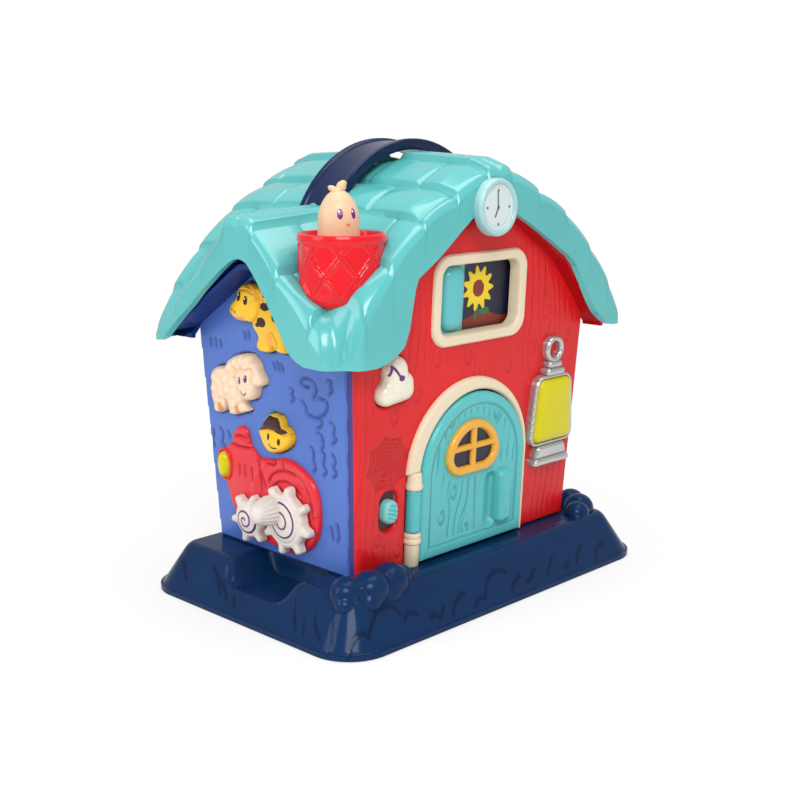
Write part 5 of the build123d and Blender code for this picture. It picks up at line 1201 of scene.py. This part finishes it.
# bell button and its note, slide switch
bellLook = {"rim": 5.5, "proud": 6.0, "swell": 0.8, "back": -2.0}
switchLook = {"thumb": (10.3, 14, 5.1), "rim": 2.4, "proud": 3.2, "rib": 0.75, "ribPitch": 2.6,
              "well": (14.5, 24, 6.5), "floor": -2.6}


def bellHeight(x, y, d):
    return rim(d, bellLook["rim"], bellLook["proud"]) + bump(x, y, -71, 113, 12, 14, bellLook["swell"])


def bellSkin(x, y):
    return bellHeight(x, y, np.maximum(-bellShape(x, y), 0))


def thumbHeight(x, y, d):
    ribs = np.cos((y - 37 + 0.35 * (x + 71)) * 2 * math.pi / switchLook["ribPitch"])
    return rim(d, switchLook["rim"], switchLook["proud"]) + switchLook["rib"] * ribs * ease(d, 0.4, 1.8)


bell = relief("bell", "front", bellShape, (-86, 98, -56, 129), 0.45, bellHeight, bellLook["back"])
settle(bell, "bell_button", "bellPearl", ["bell_button"])


def noteShape(x, y):
    d = np.minimum(capsule(x, y, -78.6, 117.4, -77.2, 122.4, 0.5),
                   capsule(x, y, -77.2, 122.4, -72.4, 116.2, 0.75))
    return np.minimum(d, ellipse(x, y, -71.4, 115.6, 2.2, 1.7))


note = relief("bellNote", "front", noteShape, (-81, 112, -68, 124), 0.25,
              lambda x, y, d: bellSkin(x, y) + np.minimum(0.18, 0.05 + d), lambda x, y: bellSkin(x, y) - 0.3)
settle(note, "bell_button", "inkPurple", ())
thumb = relief("switchThumb", "front", lambda x, y: slab(x, y, *switchAt, *switchLook["thumb"]),
               (-77, 29, -65, 45), 0.35, thumbHeight, -3.0)
settle(thumb, "switch_thumb", "switchTeal", ["switch_thumb"])
# painted shade: the recessed switch well is filled in dark red
well = relief("switchWell", "front", lambda x, y: slab(x, y, *switchAt, *switchLook["well"]),
              (-79, 24, -63, 50), 0.8, lambda x, y, d: switchLook["floor"] + 0 * x, -2.9)
settle(well, "house", "slotShade", ())

# lantern: ring, neck, lens and foot
lanternLook = {"across": 68.5, "lens": (75.5, 30, 38, 40, 5), "lensRim": 3.2, "lensTop": 7.4,
               "lensSwell": 1.4, "band": 2.4, "bandRim": 1.15, "bandTop": 5.4}


def trapezoid(x, y, cx, cy, top, bottom, tall, r):
    slope = (bottom - top) / 2 / tall
    half = (top + bottom) / 4 - slope * (y - cy)
    qx = (np.abs(x - cx) - half) / math.hypot(1, slope) + r
    qy = np.abs(y - cy) - tall / 2 + r
    return np.hypot(np.maximum(qx, 0), np.maximum(qy, 0)) + np.minimum(np.maximum(qx, qy), 0) - r


def lampLens(x, y):
    return trapezoid(x, y, lanternLook["across"], *lanternLook["lens"])


def lampBand(x, y):
    return np.maximum(lampLens(x, y) - lanternLook["band"], -lampLens(x, y) + 0.1)


def lensHeight(x, y, d):
    swell = np.clip(1 - ((x - lanternLook["across"]) / 18) ** 2, 0, 1) * ease(d, 0, 6)
    return rim(d, lanternLook["lensRim"], lanternLook["lensTop"]) + lanternLook["lensSwell"] * swell


lens = relief("lanternLens", "front", lampLens, (48, 54, 89, 97), 0.6, lensHeight, 0.3)
settle(lens, "house", "lensYellow", ["lantern_lens"])
band = relief("lanternBand", "front", lampBand, (45, 51, 92, 100), 0.5,
              lambda x, y, d: rim(d, lanternLook["bandRim"], lanternLook["bandTop"]), -0.4)
settle(band, "house", "silver", ["lantern_frame"])
mid = lanternLook["across"]
silverParts = [("lanternFoot", lambda x, y: trapezoid(x, y, mid, 42.6, 33, 36, 5, 2.2), 2.1, 7.6),
               ("lanternStep", lambda x, y: trapezoid(x, y, mid, 48.8, 26, 31, 8.4, 2.4), 2.1, 6.4),
               ("lanternCollar", lambda x, y: slab(x, y, mid, 99.8, 17, 5.0, 2.4), 2.1, 6.6),
               ("lanternNeck", lambda x, y: slab(x, y, mid, 104.2, 13, 4.6, 2.2), 2.1, 5.8),
               ("lanternRing", lambda x, y: np.abs(disc(x, y, mid, 113.6, 6.8)) - 1.7, 1.6, 4.6)]
for name, shape, curve, top in silverParts:
    part = relief(name, "front", shape, (48, 38, 90, 123), 0.45,
                  lambda x, y, d, r=curve, top=top: rim(d, r, top), -0.4)
    settle(part, "house", "silver", ())
print("stage bell, switch and lantern")

# animal and farmer buttons on the left wall
cowLook = {"rim": 2.8, "proud": 5.2, "seam": 0.9, "box": (-32, 123, 23, 163), "step": 0.5}
sheepLook = {"rim": 2.8, "proud": 4.8, "seam": 0.8, "curl": 1.7, "box": (-57, 81, 3, 122), "step": 0.5}
farmerLook = {"rim": 2.6, "proud": 4.6, "seam": 0.8, "brim": 0.9, "box": (-14, 64, 22, 89), "step": 0.45}
buttonBack = -2.5


def cowHeight(x, y, d):
    z = rim(d, cowLook["rim"], cowLook["proud"]) + bump(x, y, -15, 151, 13, 12, 2.2)
    z = z + bump(x, y, -22, 147.4, 11, 8.5, 2.4) + bump(x, y, 6, 140, 16, 14, 1.2)
    z = z + bump(x, y, 0.5, 158.5, 4.5, 3.4, 1.2)
    return z - cowLook["seam"] * strokes(x, y, cowSeams, 0.7)


cowSeams = [smoothLoop(q, 4, False) for q in (
    [(-4, 159), (-3.2, 152), (-6.5, 144.5), (-12, 140.4)], [(9.7, 128.3), (9.6, 133), (7, 137)],
    [(-20, 158.4), (-14, 159.4), (-8.6, 157.4)], [(-15, 161.6), (-10.4, 160.4), (-7, 157)],
    [(-7.6, 161.6), (-5.6, 158), (-5.2, 154)], [(0.6, 160), (-1.2, 156.6), (0.4, 153.6)])]
# painted shade darkens the seams
cow = relief("cow", "left", lambda x, y: outline(x, y, cowLine), cowLook["box"], cowLook["step"], cowHeight,
             buttonBack, lambda x, y: 0.6 * strokes(x, y, cowSeams, 0.9))
settle(cow, "cow_button", "cowYellow", ["cow_button"])


def sheepHeight(x, y, d):
    z = rim(d, sheepLook["rim"], sheepLook["proud"]) + bump(x, y, -20, 104, 13, 14, 2.4)
    for px, py, r in woolSpots:
        z = z + bump(x, y, px, py, r, r, sheepLook["curl"])
    return z - sheepLook["seam"] * strokes(x, y, sheepSeams, 0.7)


woolSpots = [(-50, 103.5, 4.4), (-45.5, 107, 4.2), (-46, 100, 4.2), (-40.5, 103, 4.2), (-51, 96.5, 4.0),
             (-45, 94, 4.2), (-39.5, 97, 4.2), (-34.5, 102, 4.2), (-34, 95, 4.2), (-49.5, 90, 3.6),
             (-34.5, 89, 3.6), (-36, 110.5, 3.8), (-30.5, 114.5, 3.8), (-25, 117, 3.8), (-19.5, 117.6, 3.8),
             (-14, 115.6, 3.6), (-30, 108, 3.4), (-28.5, 92.5, 3.4)]
sheepSeams = [smoothLoop(q, 4, False) for q in (
    [(-31, 112), (-28.6, 109), (-29.4, 103), (-28, 97), (-23, 93.6)],
    [(-28.6, 109), (-24.6, 112.4), (-20.4, 111.6), (-16, 113), (-13, 110.6)],
    [(-13.4, 110), (-14.4, 105.6), (-11.6, 102.6)])]
# painted shade darkens the seams
sheep = relief("sheep", "left", lambda x, y: outline(x, y, sheepLine), sheepLook["box"], sheepLook["step"],
               sheepHeight, buttonBack, lambda x, y: 0.5 * strokes(x, y, sheepSeams, 0.9))
settle(sheep, "sheep_button", "sheepCream", ["sheep_button"])


def farmerHeight(x, y, d):
    z = rim(d, farmerLook["rim"], farmerLook["proud"]) + bump(x, y, 2, 71.5, 11, 9, 1.6)
    z = z + farmerLook["brim"] * ease(y, 79.4, 81.2) + bump(x, y, 3.5, 70.6, 2.2, 1.8, 0.8)
    return z - farmerLook["seam"] * strokes(x, y, hatSeam, 0.6)


hatLine = [(-13.4, 76.6), (-11, 79.6), (-6.2, 82.8), (-2.4, 86.4), (-0.2, 90), (6, 90), (9.8, 88.6),
           (10.2, 86.1), (10.2, 83.8), (12.4, 81.4), (15.4, 79.2), (12.6, 79.0), (10, 78.0), (7.6, 77.4),
           (4.6, 78.0), (1.0, 79.0), (-4.0, 79.0), (-8.6, 77.8)]
hatBrim = [(-10.4, 77.6), (-3, 79), (2.3, 79), (6.6, 78), (10, 77.5), (13.5, 78), (17, 78.8)]
hatSeam = [smoothLoop(hatBrim, 3, False)]
# painted shade darkens the hat brim seam
farmer = relief("farmer", "left", lambda x, y: outline(x, y, farmerLine), farmerLook["box"],
                farmerLook["step"], farmerHeight, buttonBack, lambda x, y: strokes(x, y, hatSeam, 0.7))
settle(farmer, "farmer_button", "cowYellow", ["farmer_button"])


def inkOn(body, box, line, height, marks):
    def skin(x, y):
        return height(x, y, np.maximum(-outline(x, y, line), 0))

    for name, look, shape, step, lift in marks:
        def within(x, y):
            return np.maximum(shape(x, y), outline(x, y, line) + 0.4)

        def printed(x, y, d):
            return skin(x, y) + np.minimum(lift, 0.04 + d)

        settle(relief(name, "left", within, box, step, printed, lambda x, y: skin(x, y) - 0.3), body, look)


# printed marks, and painted shade between the legs: name, look, shape, mesh step and height
cowPatches = [(1.4, 150.9, 3.8, 2.3), (5.6, 152.3, 3.0, 2.8), (10.1, 146.6, 2.2, 3.4),
              (-1.6, 141.9, 4.3, 2.8), (-5.6, 139.9, 2.0, 1.2), (3.6, 156.9, 2.8, 1.3)]
inkOn("cow_button", cowLook["box"], cowLine, cowHeight, [
    ("cowEyes", "spotBrown", pair((-19, 155.2), (-12.9, 153.5), 1.6, 2.6), 0.3, 0.16),
    ("cowGlints", "inkWhite", pair((-19.5, 156.1), (-13.4, 154.4), 0.55, 0.7), 0.25, 0.26),
    ("cowSpots", "spotBrown", spots(cowPatches), 0.3, 0.16),
    # painted shade between the cow's legs
    ("cowLegShade", "legShadeOrange", spots([(4.4, 131.6, 3.0, 5.0)]), 0.35, 0.1),
    ("cowNose", "spotBrown", spots([(-25.6, 147.2, 0.7, 0.9), (-21.4, 146.2, 0.7, 0.9)]), 0.22, 0.16),
    ("cowMouth", "tanInkAndLegShade", lineShape([(-27, 143.6), (-22, 142.4), (-16.5, 143.4)], 0.45), 0.25, 0.16)])
inkOn("sheep_button", sheepLook["box"], sheepLine, sheepHeight, [
    ("sheepEyes", "inkPurple", pair((-24.0, 105.2), (-18.2, 107.0), 1.4, 2.3), 0.3, 0.16),
    ("sheepGlints", "inkWhite", pair((-24.5, 106.1), (-18.7, 107.9), 0.5, 0.7), 0.25, 0.26),
    ("sheepSmile", "inkPurple", lineShape([(-24.4, 98.8), (-21.8, 96.6), (-19.0, 98.4)], 0.42), 0.25, 0.16),
    # painted shade between the sheep's legs
    ("sheepLegShade", "tanInkAndLegShade", spots([(-46.6, 85.2, 2.0, 3.4), (-30.4, 86.4, 2.0, 3.0)]), 0.35, 0.1)])
inkOn("farmer_button", farmerLook["box"], farmerLine, farmerHeight, [
    ("farmerEyes", "spotBrown", pair((-2.4, 74.8), (6.8, 73.2), 1.2, 2.0), 0.25, 0.16),
    ("farmerSmile", "spotBrown", lineShape([(-1.6, 70.8), (0.8, 68.8), (4.6, 69.2)], 0.42), 0.22, 0.16),
    ("farmerHat", "spotBrown", lambda x, y: outline(x, y, hatLine), 0.35, 0.1)])
print("stage animals")

# tractor panel with headlamp
tractorLook = {"rim": 2.2, "proud": 3.0, "nose": 1.0, "arch": 0.7, "seam": 1.2, "line": 0.75}
headLook = {"at": (-47.3, 49.6, 5.2, 8.6), "foot": 1.5, "rise": 6, "round": 4.6, "band": 1.5, "bandTop": 4.4}
tractorLine = smoothLoop([(-48.1, 58), (-40.6, 65), (-39, 70.2), (-34.8, 74.4), (-30, 75.5), (-26.4, 73.6),
                          (-25, 69.6), (-23.6, 64.9), (-20.2, 61.8), (-16.1, 59), (-4, 60), (5, 62),
                          (12.5, 61.8), (18.8, 60.0), (26.2, 56.2), (31.6, 50.7), (34.4, 43.6), (34.9, 33),
                          (32.8, 22.3), (27.8, 13.9), (20.5, 8.4), (13.2, 5), (3.4, 4.6), (-7, 6),
                          (-17.3, 7.5), (-27, 10.5), (-34.5, 14.5), (-40.5, 19.5), (-44.5, 25), (-47.4, 33),
                          (-49.6, 42)])
tractorSeams = [smoothLoop(p, 4, False) for p in (
    [(-7.4, 46), (-3.4, 51.4), (5.8, 55), (16.3, 54.4), (25.2, 49), (28.9, 41.2), (29.6, 32)],
    [(-16.5, 58), (-13.6, 50), (-10.5, 42)], [(-40.8, 64), (-33, 63), (-24, 63.5)],
    [(-33.4, 52), (-33.2, 46)], [(-28.2, 52), (-27.8, 45.5)], [(-22.5, 51.5), (-21.4, 44.5)],
    [(-15, 57), (-14.6, 49), (-14.2, 38)], [(-5.4, 42.9), (1.3, 47.3), (8.5, 48.7), (15, 47), (20.5, 42.5)],
    [(-15.8, 64.6), (-10.6, 62.4), (-3.6, 60.9), (0.4, 59.4), (-1.4, 57.4), (-8, 57.2)],
    [(6.6, 61), (7.2, 55.4)], [(-36, 69), (-30.6, 70), (-26, 68.6)])]


def tractorHeight(x, y, d):
    z = rim(d, tractorLook["rim"], tractorLook["proud"]) + bump(x, y, -31, 44, 18, 20, tractorLook["nose"])
    guard = np.exp(-(disc(x, y, 5.5, 33.5, 27) / 2.2) ** 2) * (y > 33)  # mudguard over the large gear
    z = z + tractorLook["arch"] * guard
    return z - tractorLook["seam"] * strokes(x, y, tractorSeams, tractorLook["line"])


# painted shade darkens the seams
tractor = relief("tractor", "left", lambda x, y: outline(x, y, tractorLine), (-51, 4, 36, 77), 0.6,
                 tractorHeight, -0.4, lambda x, y: strokes(x, y, tractorSeams, 0.8))
settle(tractor, "house", "tractorRed", ["tractor_panel"])


def headShape(x, y):
    return ellipse(x, y, *headLook["at"])


def headRing(x, y):
    return np.maximum(headShape(x, y) - headLook["band"], -headShape(x, y))


head = relief("headlamp", "left", headShape, (-54, 40, -41, 60), 0.4,
              lambda x, y, d: headLook["foot"] + headLook["rise"] * dome(d, headLook["round"]), 0.6)
settle(head, "house", "lensYellow", ["headlamp_lens"])
headBand = relief("headlampBand", "left", headRing, (-56, 38, -39, 62), 0.35,
                  lambda x, y, d: rim(d, 0.7, headLook["bandTop"]), 0.4)
settle(headBand, "house", "tractorRed", ())


# meshed gears with a printed swirl
def gearShape(cx, cy, teeth, root, tip, half, first):
    def d(x, y):
        best = disc(x, y, cx, cy, root)
        for k in range(teeth):
            a = math.radians(first + 360 * k / teeth)
            along = (x - cx) * math.cos(a) + (y - cy) * math.sin(a)
            over = np.abs((y - cy) * math.cos(a) - (x - cx) * math.sin(a))
            qx = along - tip + 1.6
            qy = over - half + 1.6 + 0.2 * (along - root)
            tooth = np.hypot(np.maximum(qx, 0), np.maximum(qy, 0)) + np.minimum(np.maximum(qx, qy), 0) - 1.6
            best = joined(best, np.maximum(tooth, 0.5 * root - along), 1.6)
        return best
    return d


def swirl(cx, cy, start, reach, laps, turn):
    pts = []
    for k in range(40):
        t = k / 39
        a = turn + 2 * math.pi * laps * t
        r = start + (reach - start) * t
        pts.append((cx + r * math.cos(a), cy + r * math.sin(a)))
    return lineShape(pts, 0.6)


gears = {
    "largeGear": dict(node="large_gear", body="crank_gear", at=(11, 27.2), teeth=8, root=16.2, tip=21.3,
                      half=3.0, first=212.8, curl=(2.6, 11.8, 1.7, 3.6), hub=13.2),
    "smallGear": dict(node="small_gear", body="small_gear", at=(-21.96, 21.21), teeth=6, root=11.2, tip=16.0,
                      half=2.8, first=10.3, curl=(0.8, 8.4, 1.9, 0.5), hub=9.4),
}
gearLook = {"rim": 2.0, "proud": 9.6, "swell": 2.4, "groove": 0.5, "back": 4.0}
for name, gear in gears.items():
    (cx, cy), root, tip, hub = gear["at"], gear["root"], gear["tip"], gear["hub"]
    shape = gearShape(cx, cy, gear["teeth"], root, tip, gear["half"], gear["first"])

    def gearHeight(x, y, d, cx=cx, cy=cy, root=root):
        q = np.hypot(x - cx, y - cy)
        z = rim(d, gearLook["rim"], gearLook["proud"])
        z = z + gearLook["swell"] * np.clip(1 - (q / (0.92 * root)) ** 2, 0, 1)
        return z - gearLook["groove"] * np.exp(-((q - 0.8 * root) / 0.6) ** 2)

    def gearSkin(x, y, height=gearHeight):
        return height(x, y, 9 + 0 * x)

    def around(reach):
        return (cx - reach, cy - reach, cx + reach, cy + reach)

    wheel = relief(name, "left", shape, around(tip + 1), 0.45, gearHeight, gearLook["back"])
    settle(wheel, gear["body"], "gearCream", [gear["node"]])
    ink = relief(name + "Swirl", "left", swirl(cx, cy, *gear["curl"]), around(hub), 0.3,
                 lambda x, y, d: gearSkin(x, y) + np.minimum(0.16, 0.04 + d),
                 lambda x, y: gearSkin(x, y) - 0.3)
    settle(ink, gear["body"], "inkPurple", ())

# crank knob, off the large gear's middle
knobLook = {"orbit": 10.3, "turn": math.radians(146.8), "ribs": 20, "rib": 0.4, "ribbedFrom": 6.5}
gearX, gearY = gears["largeGear"]["at"]
knobSpot = spotOn("left", gearX + knobLook["orbit"] * math.cos(knobLook["turn"]),
                  gearY + knobLook["orbit"] * math.sin(knobLook["turn"]), 0.0)
leftOut = (-leanCos, 0, -leanSin)
knobProfile = [(8.2, 9.5), (8.5, 11), (8.3, 13.5), (7.6, 16.4), (6.6, 19.6), (5.7, 22.0), (4.4, 23.4),
               (2.6, 24.2), (0.1, 24.4)]


def knobRibs(a, h, r):
    return knobLook["rib"] * math.cos(knobLook["ribs"] * a) * (1 if r > knobLook["ribbedFrom"] else 0)


knob = lathe("crankKnob", knobProfile, knobSpot, leftOut, 120, knobRibs)
settle(knob, "crank_gear", "gearCream", ["crank_knob"])
print("stage tractor and gears")
